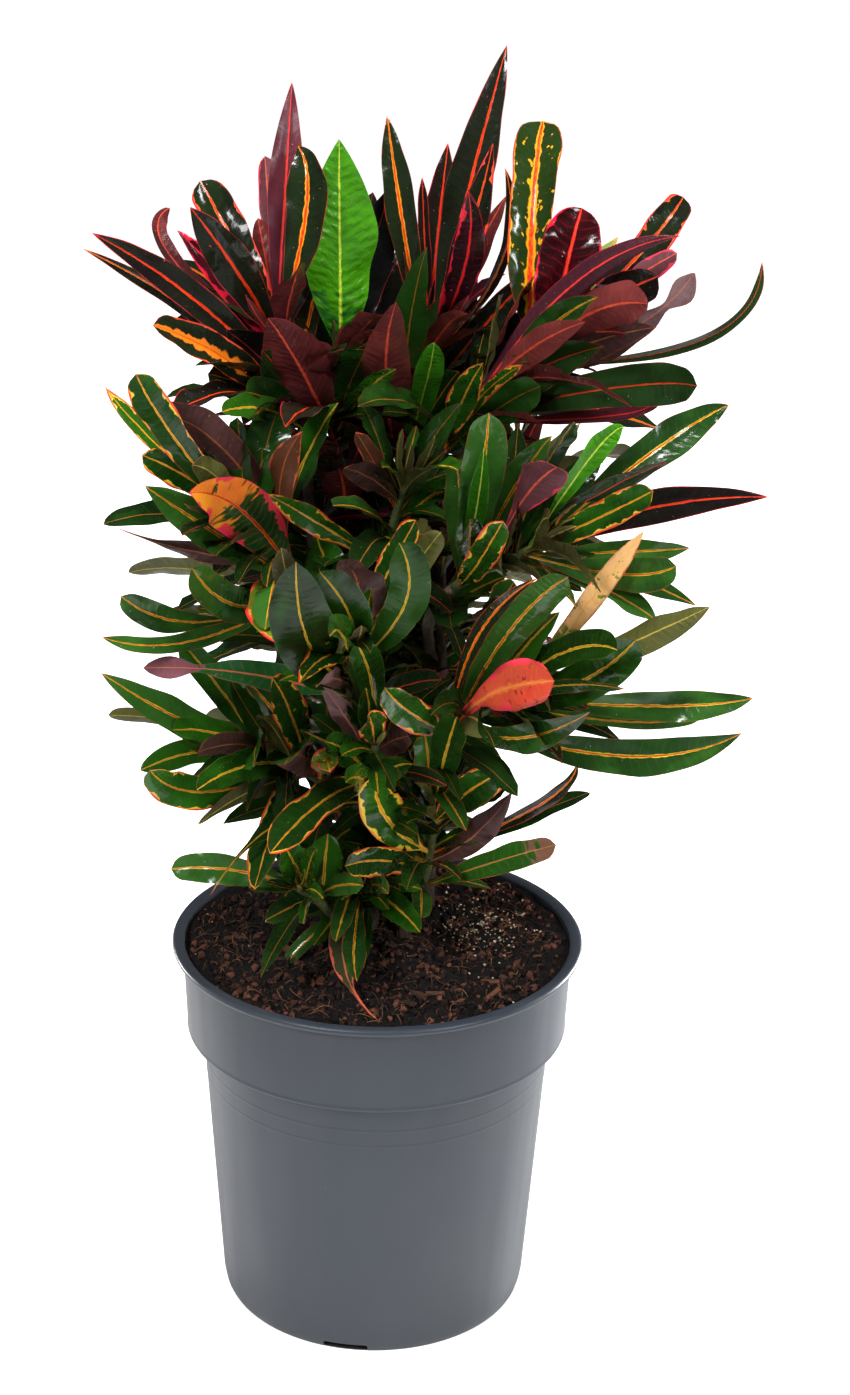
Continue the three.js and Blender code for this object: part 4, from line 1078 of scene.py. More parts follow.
# woody stems: the curves that carry the shoots
def growStems():
    for trunk in trunks.values():
        foot, *rest = (fromPhoto(*place) for place in trunk["path"])
        foot.z = soil["level"]
        trunk["curve"] = [foot - Vector((0, 0, wood["footDepth"])), foot, *rest]
        trunk["length"] = lengthOf([alongSpline(trunk["curve"], share) for share in stepped(200)])
    for shoot in shoots.values():
        trunk = trunks[shoot["trunk"]]
        root, tip = fromPhoto(*shoot["root"]), fromPhoto(*shoot["tip"])
        reach = (tip - root).length
        heading = ((tip - root) / 2 + Vector((0, 0, 0.08 * reach))).normalized()
        if shoot["fork"] == 1:
            root = alongSpline(trunk["curve"], 1)
            heading = splineHeading(trunk["curve"], 1)
        start = root + heading * wood["seat"]
        shoot["curve"] = [start, start + heading * 0.4 * reach, tip]
        fork = between(wood["footDepth"] / trunk["length"], 1, shoot["fork"])
        base = alongSpline(trunk["curve"], fork)
        leaving = splineHeading(trunk["curve"], fork)
        handle = 0.4 * (root - base).length
        shoot["branch"] = [base, base + leaving * handle, root - heading * handle, root]


# bark swells at the leaf scars, which ring the stem
def barkRadius(radius, distance, seed):
    scar = math.sin(distance / wood["scarGap"] * 2 * math.pi + seed)
    return radius * (1 + 0.05 * math.sin(distance * 0.21 + seed)) + wood["scarRise"] * max(0, scar) ** 6


def woodMaterial(name, scale):
    if name in bpy.data.materials:
        return bpy.data.materials[name]
    material, tree, surface = newMaterial(name)
    first, second, third = (tint(*colour) for colour in barks[name])
    broad = noisy(objectPlace(tree), scale, 4, 0.6)
    fine = noisy(objectPlace(tree, (1, 1, 0.35)), scale * 7, 4, 0.65)
    colour = mixed(smooth(fine, 0.5, 0.75), mixed(smooth(broad, 0.35, 0.65), first, second), third)
    joined(surface, {"Base Color": colour, "Roughness": mapped(fine, 0, 1, 0.6, 0.9)})
    bumped(surface, broad + fine, 0.7, 0.0012)
    return material


def addTrunks():
    materials = [woodMaterial("greyBark", 70), woodMaterial("youngBark", 90)]
    for order, (name, trunk) in enumerate(trunks.items()):
        bm = bmesh.new()
        length = trunk["length"]
        shares = stepped(max(8, round(length / wood["step"])))
        places = [alongSpline(trunk["curve"], share) for share in shares]
        radii = [barkRadius(between(*trunk["radius"], share), length * share, order) for share in shares]
        for count, share in list(enumerate(shares))[1:-1]:
            wander = noise.noise_vector(places[count] * 0.05) * wood["wander"]
            places[count] = places[count] + Vector((wander.x, wander.y, 0)) * math.sin(share * math.pi)
        sweep(bm, places, radii, wood["sides"], 0)
        for seed, shoot in enumerate(shoots.values()):
            if shoot["trunk"] == name and shoot["fork"] != 1:
                length = (shoot["branch"][3] - shoot["branch"][0]).length * 1.1
                shares = stepped(max(6, round(length / wood["step"])))
                places = [alongBezier(shoot["branch"], share)[0] for share in shares]
                radii = [barkRadius(between(*wood["branch"], share), length * share, seed) for share in shares]
                sweep(bm, places, radii, wood["sides"], 1)
        finishPiece(name + "_bark", bm, materials, "bark", [name])


# what a blade's surface shows: masks by distance from the rib, the edge and the base, in millimetres
leafDefaults = {
    "Body": (34, 80, 14),
    "Deep": (19, 47, 9),
    "Vein": (62, 112, 32),
    "Rib": (214, 168, 30),
    "Border": (190, 190, 50),
    "Margin": (214, 180, 40),
    "Edge": (70, 90, 34),
    "Spots": (190, 186, 40),
    "Rib Width": 0.6,
    "Border Width": 0.35,
    "Margin Width": 0.0,
    "Edge Width": 0.35,
    "Spot Share": 0.0,
    "Base": (34, 82, 20),
    "Base Reach": 0.0,
    "Vein Strength": 0.12,
    "Quilting": 0.24,
    "Gloss": 0.19,
}
# how the pattern is drawn: each noise has its scale along the leaf and across it, a millimetre
pattern = {
    "veinSlant": 0.62,
    "veinRate": 1.25,
    "veinWander": 12,
    "veinPower": 9,
    "veinStart": (0.3, 2.5),
    "feather": (0.2, 0.07),
    "patches": (0.07, 0.03),
    "tone": (0.035, 0.09),
    "blots": (0.17, 0.2),
    "wrinkle": (0.3, 0.2),
    "specks": (0.8, 0.8),
    "speckColour": (196, 200, 176),
    "ribTaper": (1.15, 0.45),             # at the base and at the tip
    "narrowLeaf": (2, 9, 0.4, 1.1),       # half widths of narrow and wide leaves, and their ribs' shares
    "lots": 97,                           # keeps the noise of one leaf apart from that of the next
    "sides": 2.3,
}


# mask that is one below low and none above high
def within(value, low, high):
    return 1 - smooth(value, low, high)


def addLeafGroup():
    inputs = {name: tint(*value) if isinstance(value, tuple) else value for name, value in leafDefaults.items()}
    outputs = {"Color": "Color", "Roughness": "Float", "Height": "Float"}
    tree, given, result = newGroup("leafPattern", inputs, outputs)
    across, along, edge = attribute(tree, "leafPlace")
    share, seed, _ = attribute(tree, "leafKind")
    out = maths("ABSOLUTE", across)
    lot = seed * pattern["lots"]
    side = lot + maths("SIGN", across) * pattern["sides"]
    sweepBack = along - out * pattern["veinSlant"]

    def noiseOf(name, lengthwise, crosswise, part, *detail):
        long, wide = pattern[name]
        return noisy(vectorOf(lengthwise * long, crosswise * wide, part), 1, *detail)

    feather = noiseOf("feather", sweepBack, out, side, 2)
    patches = noiseOf("patches", along, out, side, 2)
    tone = noiseOf("tone", along, across, lot, 2) + (seed - 0.5) * 0.5
    blots = noiseOf("blots", sweepBack, out, side, 2, 0.6)
    wrinkle = noiseOf("wrinkle", sweepBack, out, side, 2)
    specks = noiseOf("specks", along, across, lot, 1)
    ridge = mapped(maths("SINE", sweepBack * pattern["veinRate"] + tone * pattern["veinWander"]), -1, 1)
    reach = smooth(edge, *pattern["veinStart"])
    vein = maths("POWER", ridge, pattern["veinPower"]) * reach * smooth(blots, 0.25, 0.6)
    # the rib narrows towards the tip, and is thinner on a narrow leaf
    taper = mapped(share, 0, 1, *pattern["ribTaper"]) * mapped(out + edge, *pattern["narrowLeaf"])
    ribHalf = given["Rib Width"] * 0.5 * taper * mapped(feather, 0.3, 0.7, 0.7, 1.2)
    rib = within(out, ribHalf * 0.6, ribHalf + 0.12)
    spread = mapped(feather, 0.32, 0.68, 0.4, 1.45)
    borderHalf = given["Border Width"] * taper * spread + ribHalf
    border = within(out, borderHalf * 0.75, borderHalf + 0.1) * smooth(given["Border Width"], 0, 0.2)
    marginIn = given["Margin Width"] * smooth(patches, 0.42, 0.62) * spread
    margin = within(edge, marginIn * 0.8, marginIn + 0.15) * smooth(marginIn, 0.05, 0.3)
    # the coloured edge comes and goes
    edgeIn = given["Edge Width"] + marginIn * 0.32
    rim = within(edge, edgeIn * 0.5, edgeIn) * smooth(given["Edge Width"], 0, 0.1)
    rim *= mapped(smooth(patches, 0.42, 0.58), 0, 1, 0.2, 1)
    limit = 0.8 - given["Spot Share"] * 0.5
    spots = smooth(blots, limit, limit + 0.035) * smooth(given["Spot Share"], 0, 0.05)
    ragged = share + (feather - 0.5) * 0.5
    base = within(ragged, given["Base Reach"] - 0.025, given["Base Reach"] + 0.025)
    base *= smooth(given["Base Reach"], 0, 0.02)
    colour = mixed(smooth(tone, 0.3, 0.7), given["Body"], given["Deep"])
    for mask, name in ((base, "Base"), (vein * given["Vein Strength"], "Vein"), (spots, "Spots"),
                       (margin, "Margin"), (rim, "Edge"), (border, "Border")):
        colour = mixed(mask, colour, given[name])
    # small pale specks, as of dust and dried drops, lie under the rib
    colour = mixed(smooth(specks, 0.76, 0.82) * 0.4, colour, tint(*pattern["speckColour"]))
    # where the wrinkles rise the rib takes some of the border colour, a painted glint along the rib
    ribColourAndGlint = mixed(smooth(wrinkle, 0.5, 0.62) * 0.35, given["Rib"], given["Border"])
    puff = ridge * given["Quilting"] * reach * mapped(blots, 0.3, 0.7, 0.1, 1.5)
    joined(result, {"Color": mixed(rib, colour, ribColourAndGlint),
                    "Roughness": given["Gloss"] + (feather - 0.5) * 0.3 + rib * 0.12,
                    "Height": puff - rib * 0.7 + wrinkle * 3 * given["Quilting"] + feather * 0.5})


# leaf looks: what differs from a plain green leaf, and the look of its underside
looks = {
    "ember": {"Body": (24, 29, 19), "Deep": (22, 15, 15), "Vein": (48, 44, 38), "Rib": (222, 36, 18),
        "Border": (214, 78, 22), "Edge": (168, 34, 46), "Spots": (214, 60, 34), "Rib Width": 1.25,
        "Border Width": 0.3, "Edge Width": 0.5, "Spot Share": 0.1, "Vein Strength": 0.08, "under": "wine"},
    "emberGold": {"Body": (25, 37, 18), "Deep": (19, 20, 15), "Vein": (50, 56, 40),
        "Rib": (226, 50, 18), "Border": (232, 150, 28), "Edge": (168, 50, 40), "Spots": (220, 90, 34),
        "Rib Width": 1.5, "Border Width": 0.65, "Spot Share": 0.1, "Vein Strength": 0.08, "under": "wine"},
    "emberEdge": {"Body": (26, 41, 18), "Deep": (21, 24, 16), "Vein": (52, 54, 40),
        "Rib": (224, 44, 30), "Border": (226, 110, 30), "Margin": (228, 92, 34), "Edge": (216, 44, 66),
        "Rib Width": 1.4, "Border Width": 0.45, "Margin Width": 2.0, "Edge Width": 0.6,
        "Vein Strength": 0.08, "under": "wine"},
    "emberGreen": {"Body": (27, 50, 19), "Deep": (19, 33, 15), "Vein": (46, 70, 40),
        "Rib": (196, 40, 26), "Border": (150, 60, 26), "Edge": (120, 40, 36), "Rib Width": 0.6,
        "Border Width": 0.2, "Vein Strength": 0.08, "under": "wine"},
    "crimson": {"Body": (66, 18, 28), "Deep": (34, 12, 20), "Vein": (110, 26, 36), "Rib": (214, 32, 36),
        "Border": (186, 40, 40), "Margin": (196, 24, 44), "Edge": (214, 32, 60), "Rib Width": 1.3,
        "Border Width": 0.4, "Margin Width": 2.6, "Edge Width": 0.8, "Vein Strength": 0.16,
        "under": "wine"},
    "maroon": {"Body": (86, 36, 45), "Deep": (62, 25, 35), "Vein": (104, 48, 56), "Rib": (218, 48, 44),
        "Border": (190, 60, 50), "Edge": (150, 40, 56), "Rib Width": 1.2, "Border Width": 0.2,
        "Gloss": 0.36, "under": "wine"},
    "night": {"Body": (16, 19, 15), "Deep": (12, 11, 12), "Vein": (24, 28, 22), "Rib": (130, 28, 22),
        "Border": (84, 26, 20), "Edge": (92, 24, 30), "Rib Width": 0.6, "Border Width": 0.2,
        "Vein Strength": 0.06, "Gloss": 0.22, "under": "wine"},
    "patch": {"Body": (24, 36, 18), "Deep": (20, 24, 16), "Vein": (60, 50, 26), "Rib": (206, 76, 18),
        "Border": (218, 114, 24), "Margin": (220, 120, 40), "Edge": (214, 60, 40), "Rib Width": 0.8,
        "Border Width": 3.6, "Margin Width": 0.8, "Edge Width": 0.6, "Vein Strength": 0.1, "under": "wine"},
    "splash": {"Body": (30, 48, 15), "Deep": (22, 32, 13), "Vein": (60, 70, 30), "Rib": (226, 48, 18),
        "Border": (226, 150, 22), "Margin": (208, 150, 28), "Edge": (222, 60, 40), "Spots": (206, 146, 24),
        "Rib Width": 2.6, "Border Width": 1.2, "Margin Width": 1.4, "Edge Width": 0.6, "Spot Share": 0.33,
        "under": "wine"},
    "net": {"Body": (84, 11, 18), "Deep": (38, 7, 11), "Vein": (168, 24, 28), "Rib": (230, 58, 34),
        "Border": (196, 30, 28), "Margin": (196, 20, 48), "Edge": (214, 28, 60), "Rib Width": 1.6,
        "Border Width": 0.5, "Margin Width": 2.2, "Edge Width": 1.0, "Vein Strength": 0.16,
        "under": "rose"},
    "coral": {"Body": (198, 40, 42), "Deep": (200, 72, 46), "Vein": (218, 96, 70),
        "Rib": (226, 136, 60), "Border": (216, 108, 54), "Margin": (228, 54, 70), "Edge": (230, 60, 84),
        "Spots": (152, 36, 34), "Base": (150, 70, 40), "Base Reach": 0.34, "Rib Width": 1.0,
        "Border Width": 1.6, "Margin Width": 3, "Edge Width": 0.8, "Spot Share": 0.32, "Gloss": 0.4,
        "under": "coral"},
    "sunset": {"Body": (234, 144, 38), "Deep": (230, 98, 44), "Vein": (240, 176, 52),
        "Rib": (206, 36, 26), "Border": (232, 116, 34), "Margin": (234, 64, 66), "Edge": (234, 52, 84),
        "Spots": (40, 84, 30), "Base": (28, 64, 28), "Base Reach": 0.6, "Rib Width": 0.9,
        "Border Width": 0.5, "Margin Width": 4, "Edge Width": 1.0, "Spot Share": 0.3, "Gloss": 0.36,
        "under": "rust"},
    "peach": {"Body": (222, 172, 112), "Deep": (206, 146, 78), "Vein": (228, 190, 130),
        "Rib": (226, 190, 96), "Border": (216, 158, 84), "Margin": (212, 120, 66), "Edge": (226, 84, 70),
        "Spots": (112, 128, 48), "Base": (92, 112, 40), "Base Reach": 0.32, "Spot Share": 0.32,
        "Margin Width": 0.8, "Gloss": 0.4, "under": "peach"},
    "rust": {"Body": (150, 74, 30), "Deep": (108, 50, 26), "Vein": (172, 92, 40), "Rib": (192, 106, 40),
        "Border": (166, 82, 32), "Edge": (118, 60, 30), "Gloss": 0.42, "under": "rust"},
    "copper": {"Body": (92, 54, 36), "Deep": (62, 38, 26), "Vein": (112, 66, 42), "Rib": (178, 92, 42),
        "Border": (130, 70, 34), "Margin": (168, 84, 52), "Edge": (196, 84, 60), "Margin Width": 1.0,
        "Edge Width": 0.5, "Gloss": 0.36, "under": "copper"},
    "bronze": {"Body": (62, 66, 42), "Deep": (48, 46, 34), "Vein": (104, 96, 70), "Rib": (208, 92, 60),
        "Border": (190, 130, 70), "Margin": (208, 108, 76), "Edge": (212, 90, 76), "Margin Width": 1.2,
        "Border Width": 0.6, "Edge Width": 0.5, "Gloss": 0.34, "under": "brown"},
    "lime": {"Body": (64, 136, 14), "Deep": (42, 106, 12), "Vein": (100, 168, 36),
        "Rib": (200, 214, 66), "Border": (130, 184, 48), "Edge": (84, 148, 38), "Base": (34, 92, 24),
        "Base Reach": 0.28, "Rib Width": 1.0, "Border Width": 0.4, "Vein Strength": 0.04, "Quilting": 1.3,
        "Gloss": 0.2, "under": "fern"},
    "fresh": {"Body": (50, 116, 18), "Deep": (34, 88, 14), "Vein": (84, 148, 48), "Rib": (184, 190, 58),
        "Border": (126, 164, 50), "Edge": (84, 128, 44), "Border Width": 0.5, "Quilting": 0.5,
        "under": "fern"},
    "pale": {"Body": (148, 166, 96), "Deep": (112, 144, 70), "Vein": (174, 186, 120),
        "Rib": (210, 176, 90), "Border": (184, 176, 96), "Margin": (220, 158, 64), "Edge": (222, 110, 60),
        "Margin Width": 1.2, "Border Width": 0.6, "Gloss": 0.34, "under": "fern"},
    "green": {"Rib": (190, 66, 24), "Border": (190, 180, 48), "Rib Width": 0.8, "Border Width": 0.6,
        "under": "olive"},
    # a darker copy of the plain green for three leaves at the front that catch a broad sheen: painted shade in the
    # body colour
    "shadeGreen": {"Body": (28, 64, 10), "Deep": (14, 36, 6), "Vein": (46, 90, 24),
        "Rib": (190, 104, 30), "Border": (186, 176, 46), "Rib Width": 0.6, "Border Width": 0.4,
        "Gloss": 0.32, "under": "olive"},
    "greenRed": {"Body": (46, 88, 30), "Deep": (28, 57, 21), "Rib": (190, 40, 20),
        "Border": (206, 184, 48), "Edge": (130, 70, 40), "Rib Width": 1.0, "Border Width": 0.5,
        "under": "olive"},
    "greenEdge": {"Body": (36, 84, 18), "Deep": (22, 54, 14), "Rib": (208, 72, 32),
        "Border": (212, 178, 44), "Margin": (214, 186, 52), "Edge": (216, 66, 48), "Rib Width": 0.6,
        "Border Width": 0.45, "Margin Width": 1.8, "Edge Width": 0.7, "Spot Share": 0.1, "under": "olive"},
    "deepGreen": {"Body": (26, 58, 15), "Deep": (15, 35, 10), "Vein": (44, 82, 42),
        "Rib": (150, 72, 26), "Border": (124, 104, 34), "Edge": (52, 56, 24), "Rib Width": 0.4,
        "Border Width": 0.22, "under": "olive"},
    "mottled": {"Body": (96, 120, 32), "Deep": (58, 92, 28), "Vein": (128, 144, 46),
        "Rib": (216, 104, 40), "Border": (220, 168, 42), "Margin": (224, 132, 42), "Edge": (218, 44, 52),
        "Spots": (206, 140, 40), "Rib Width": 1.1, "Border Width": 1.0, "Margin Width": 2.4,
        "Edge Width": 0.9, "Spot Share": 0.34, "under": "olive"},
    "goldEdge": {"Body": (42, 90, 18), "Deep": (26, 60, 14), "Rib": (212, 120, 40),
        "Border": (216, 180, 46), "Margin": (220, 190, 50), "Edge": (216, 120, 50), "Spots": (206, 178, 46),
        "Rib Width": 1.0, "Border Width": 0.8, "Margin Width": 3.0, "Edge Width": 0.4, "Spot Share": 0.16,
        "under": "olive"},
    "tanTip": {"Body": (134, 94, 74), "Deep": (112, 78, 62), "Vein": (150, 112, 88),
        "Rib": (190, 120, 60), "Border": (170, 130, 70), "Edge": (190, 76, 56), "Base": (36, 84, 20),
        "Base Reach": 0.8, "Border Width": 0.3, "Gloss": 0.34, "under": "olive"},
    "mauveTip": {"Body": (134, 84, 92), "Deep": (112, 68, 76), "Vein": (150, 100, 104),
        "Rib": (190, 96, 70), "Border": (150, 110, 60), "Edge": (120, 70, 70), "Base": (30, 78, 34),
        "Base Reach": 0.74, "Rib Width": 1.0, "Border Width": 0.3, "under": "olive"},
    "wine": {"Body": (108, 45, 43), "Deep": (80, 32, 33), "Vein": (112, 56, 60), "Rib": (206, 74, 50),
        "Border": (150, 56, 46), "Edge": (118, 36, 46), "Rib Width": 1.5, "Border Width": 0.3,
        "Quilting": 0.5, "Gloss": 0.38},
    "rose": {"Body": (94, 53, 58), "Deep": (74, 41, 47), "Vein": (136, 68, 74), "Rib": (208, 90, 66),
        "Border": (164, 68, 62), "Margin": (196, 54, 74), "Edge": (206, 50, 78), "Rib Width": 1.3,
        "Border Width": 0.4, "Margin Width": 1.5, "Edge Width": 0.7, "Gloss": 0.36},
    "mauve": {"Body": (112, 86, 86), "Deep": (88, 64, 64), "Vein": (138, 110, 106),
        "Rib": (172, 94, 78), "Border": (136, 94, 82), "Edge": (128, 70, 76), "Base": (75, 50, 42),
        "Base Reach": 0.6, "Border Width": 0.4, "Gloss": 0.4},
    "brown": {"Body": (76, 47, 45), "Deep": (58, 37, 35), "Vein": (104, 70, 58), "Rib": (160, 88, 54),
        "Border": (118, 72, 50), "Edge": (140, 60, 48), "Border Width": 0.4, "Quilting": 0.5,
        "Gloss": 0.38},
    "olive": {"Body": (80, 82, 40), "Deep": (62, 60, 36), "Vein": (108, 104, 58), "Rib": (184, 162, 66),
        "Border": (124, 114, 54), "Edge": (116, 74, 48), "Border Width": 0.5, "Quilting": 0.5,
        "Gloss": 0.38},
    "fern": {"Body": (90, 134, 60), "Deep": (68, 112, 48), "Vein": (120, 158, 82),
        "Rib": (166, 186, 94), "Border": (116, 146, 70), "Edge": (98, 128, 64), "Border Width": 0.5,
        "Gloss": 0.38},
}


def leafMaterial(look):
    name = look + "Leaf"
    if name in bpy.data.materials:
        return bpy.data.materials[name]
    material, tree, surface = newMaterial(name)
    values = {key: value for key, value in {**leafDefaults, **looks[look]}.items() if key != "under"}
    values = {key: tint(*value) if isinstance(value, tuple) else value for key, value in values.items()}
    shown = placedGroup(tree, "leafPattern", values)
    dull = values["Gloss"] > leafForm["dullFrom"]
    joined(surface, {"Base Color": shown["Color"], "Roughness": shown["Roughness"], "Specular IOR Level": 0.2,
                     "Coat Roughness": 0.06, "Coat Weight": leafForm["dullCoat" if dull else "coat"]})
    bumped(surface, shown["Height"], 0.5, 0.0006)
    return material


# blade outlines: how round the end is, then share of the way along the rib and share of the full width
outlines = {
    "lance": (1.15, ((0, 0), (0.09, 0.14), (0.36, 0.82), (0.58, 1), (0.82, 0.64), (1, 0))),
    "oblong": (2, ((0, 0), (0.09, 0.14), (0.4, 0.84), (0.68, 1), (0.92, 0.8), (1, 0))),
    "oval": (1.9, ((0, 0), (0.09, 0.14), (0.34, 0.86), (0.6, 1), (0.87, 0.74), (1, 0))),
    "spoon": (1.9, ((0, 0), (0.09, 0.14), (0.38, 0.28), (0.6, 0.72), (0.8, 1), (0.94, 0.74), (1, 0))),
    "tongue": (2, ((0, 0), (0.09, 0.2), (0.35, 0.92), (0.6, 0.9), (0.8, 1), (0.94, 0.8), (1, 0))),
    "waist": (1.7, ((0, 0), (0.09, 0.14), (0.36, 1), (0.58, 0.74), (0.75, 0.24), (0.88, 0.76), (1, 0))),
    "thread": (1.3, ((0, 0), (0.09, 0.14), (0.34, 1), (0.56, 0.7), (0.72, 0.16), (1, 0))),
    "strap": (1.3, ((0, 0), (0.09, 0.3), (0.5, 1), (0.85, 0.8), (1, 0))),
    "slim": (1.2, ((0, 0), (0.09, 0.14), (0.44, 1), (0.76, 0.8), (1, 0))),
    "broad": (1.8, ((0, 0), (0.09, 0.14), (0.42, 0.92), (0.8, 0.98), (1, 0))),
}


# smooth curve through an outline's stations that never overshoots them
def fullness(outline, share):
    power, stations = outlines[outline]
    places = [place for place, _ in stations]
    heights = [width ** power for _, width in stations]
    slopes = [(b - a) / (q - p) for a, b, p, q in zip(heights, heights[1:], places, places[1:])]
    turns = [slopes[0], *(2 * a * b / (a + b) if a * b > 0 else 0 for a, b in zip(slopes, slopes[1:])), slopes[-1]]
    spot = max(count for count in range(len(places) - 1) if share >= places[count] or count == 0)
    gap = places[spot + 1] - places[spot]
    part = (share - places[spot]) / gap
    low, high = heights[spot], heights[spot + 1]
    value = (low * (1 + 2 * part) * (1 - part) ** 2 + high * part ** 2 * (3 - 2 * part)
             + gap * part * (1 - part) * (turns[spot] * (1 - part) - turns[spot + 1] * part))
    return max(0, value) ** (1 / power)


# one leaf: its rib runs from the root through the middle to the tip, and its small habits are its own, as the
# solids have them
def leafOf(root, middle, tip, facing, width, outline, seed, look=None, **more):
    return {
        "rib": [root, middle * 2 - (root + tip) / 2, tip],
        "facing": facing,
        "width": width,
        "outline": outline,
        "look": look,
        "under": False,
        "fill": False,
        "fold": 0.12 + 0.2 * draw(seed + 1),
        "twist": 0.7 * (draw(seed + 2) - 0.5),
        "wave": 0.1 + 0.12 * draw(seed + 3),
        "waves": 5 + 4 * draw(seed + 4),
        "phase": 6 * draw(seed + 5),
        "lot": draw(seed + 11),
        **more,
    }


def rootOn(shoot, place, tip):
    axis, along = alongBezier(shoot["curve"], place)
    return axis + squareTo(tip - axis, along) * leafForm["rooted"] * between(wood["branch"][1], wood["tip"], place)


def seenLeaf(shoot, row, seed, shift=0):
    x, y, depth, place, width, turn, outline, look, *via = row
    tip = fromPhoto(x, y, depth + shift)
    root = rootOn(shoot, place, tip)
    middle = (root + tip) / 2
    if via:
        middle = fromPhoto(*via, middle.y - leafForm["viaLift"])
    else:
        middle.z += leafForm["arch"] * math.hypot(tip.x - root.x, tip.y - root.y)
    facing = (Vector(camera["eye"]) - middle).normalized()
    facing = Quaternion((tip - root).normalized(), math.radians(turn)) @ facing
    return leafOf(root, middle, tip, facing, width, outline, seed, look, under=abs(turn) > 90)


def grownLeaf(shoot, count, seed, shift):
    share = (count + 0.5) / shoot["grown"]
    place = 0.08 + 0.9 * share
    axis, along = alongBezier(shoot["curve"], place)
    turn = count * goldenAngle + math.radians(shift[0] + 30 * draw(seed))
    heading, _ = growing(along, turn, math.radians(8 + 48 * share + shift[1] + 14 * draw(seed + 6)))
    length = shoot["reach"] * (1.08 - 0.3 * share) * (0.85 + 0.3 * draw(seed + 7))
    tip = axis + heading * length - Vector((0, 0, 0.1 * length))
    root = rootOn(shoot, place, tip)
    middle = (root + tip) / 2 + Vector((0, 0, 0.1 * length))
    width = length * (0.17 + 0.08 * draw(seed + 9))
    outline = "slim" if draw(seed + 8) < 0.5 else "broad"
    return leafOf(root, middle, tip, squareTo(along, heading), width, outline, seed)


# a small leaf that grows from a stem and droops and arches by shares of its length
def smallLeaf(axis, along, turn, rise, length, droop, arch, width, seed):
    heading, _ = growing(along, turn, math.radians(rise))
    tip = axis + heading * length - Vector((0, 0, droop * length))
    middle = (axis + tip) / 2 + Vector((0, 0, arch * length))
    outline = ("slim", "oval", "oblong")[int(3 * draw(seed + 8))]
    return leafOf(axis, middle, tip, squareTo(along, heading), length * width, outline, seed, fill=True)


# small leaves close to the stem, its branch and its trunk, which fill the bush between the large ones
def fillLeaf(shoot, count, seed):
    share = (count + 0.5) / leafForm["fill"]
    if share < leafForm["branchShare"] and shoot["fork"] != 1:
        axis, along = alongBezier(shoot["branch"], 0.12 + 0.85 * share / leafForm["branchShare"])
    else:
        axis, along = alongBezier(shoot["curve"], share)
    length = shoot["reach"] * between(*leafForm["fillLength"], draw(seed + 7)) * (1 - 0.25 * share)
    turn, rise = count * goldenAngle + 3 * draw(seed), 4 + 46 * share + 22 * draw(seed + 6)
    droop, width = 0.16 * draw(seed + 10), 0.19 + 0.09 * draw(seed + 9)
    return smallLeaf(axis, along, turn, rise, length, droop, 0.08, width, seed)


def innerLeaf(trunk, share, count, seed):
    length = between(*inner["length"], draw(seed + 7))
    return smallLeaf(alongSpline(trunk["curve"], share), splineHeading(trunk["curve"], share),
                     count * goldenAngle + draw(seed), between(*inner["rise"], draw(seed + 6)), length,
                     0.1, 0.09, between(*inner["width"], draw(seed + 9)), seed)


# the young leaves that stand together at the tip of a shoot
def budLeaf(shoot, count, seed):
    axis, along = alongBezier(shoot["curve"], 0.97)
    turn = count * goldenAngle + 2 * draw(seed)
    heading, across = growing(along, turn, math.radians(58 + 22 * draw(seed + 6)))
    length = leafForm["bud"] * (0.5 + 0.6 * draw(seed + 7))
    tip = axis + heading * length
    middle = (axis + tip) / 2 + across * 0.06 * length
    width = length * (0.16 + 0.08 * draw(seed + 9))
    return leafOf(axis, middle, tip, squareTo(-across, heading), width, "slim", seed)


# where a blade is at each row of its grid: place, up and side there, half its width and its wave
def bladeRows(leaf, rows):
    lines = []
    for step in stepped(rows):
        share = step * (1.3 - 0.3 * step)
        centre, along = alongBezier(leaf["rib"], share)
        up = Quaternion(along, leaf["twist"] * (share - 0.5)) @ squareTo(leaf["facing"], along)
        half = fullness(leaf["outline"], share) * leaf["width"] / 2
        if share < 0.5:
            half = max(half, leafForm["stalk"])
        wave = leaf["wave"] * math.sin(share * leaf["waves"] + leaf["phase"])
        lines.append((share, centre, up, up.cross(along), half, wave))
    return lines


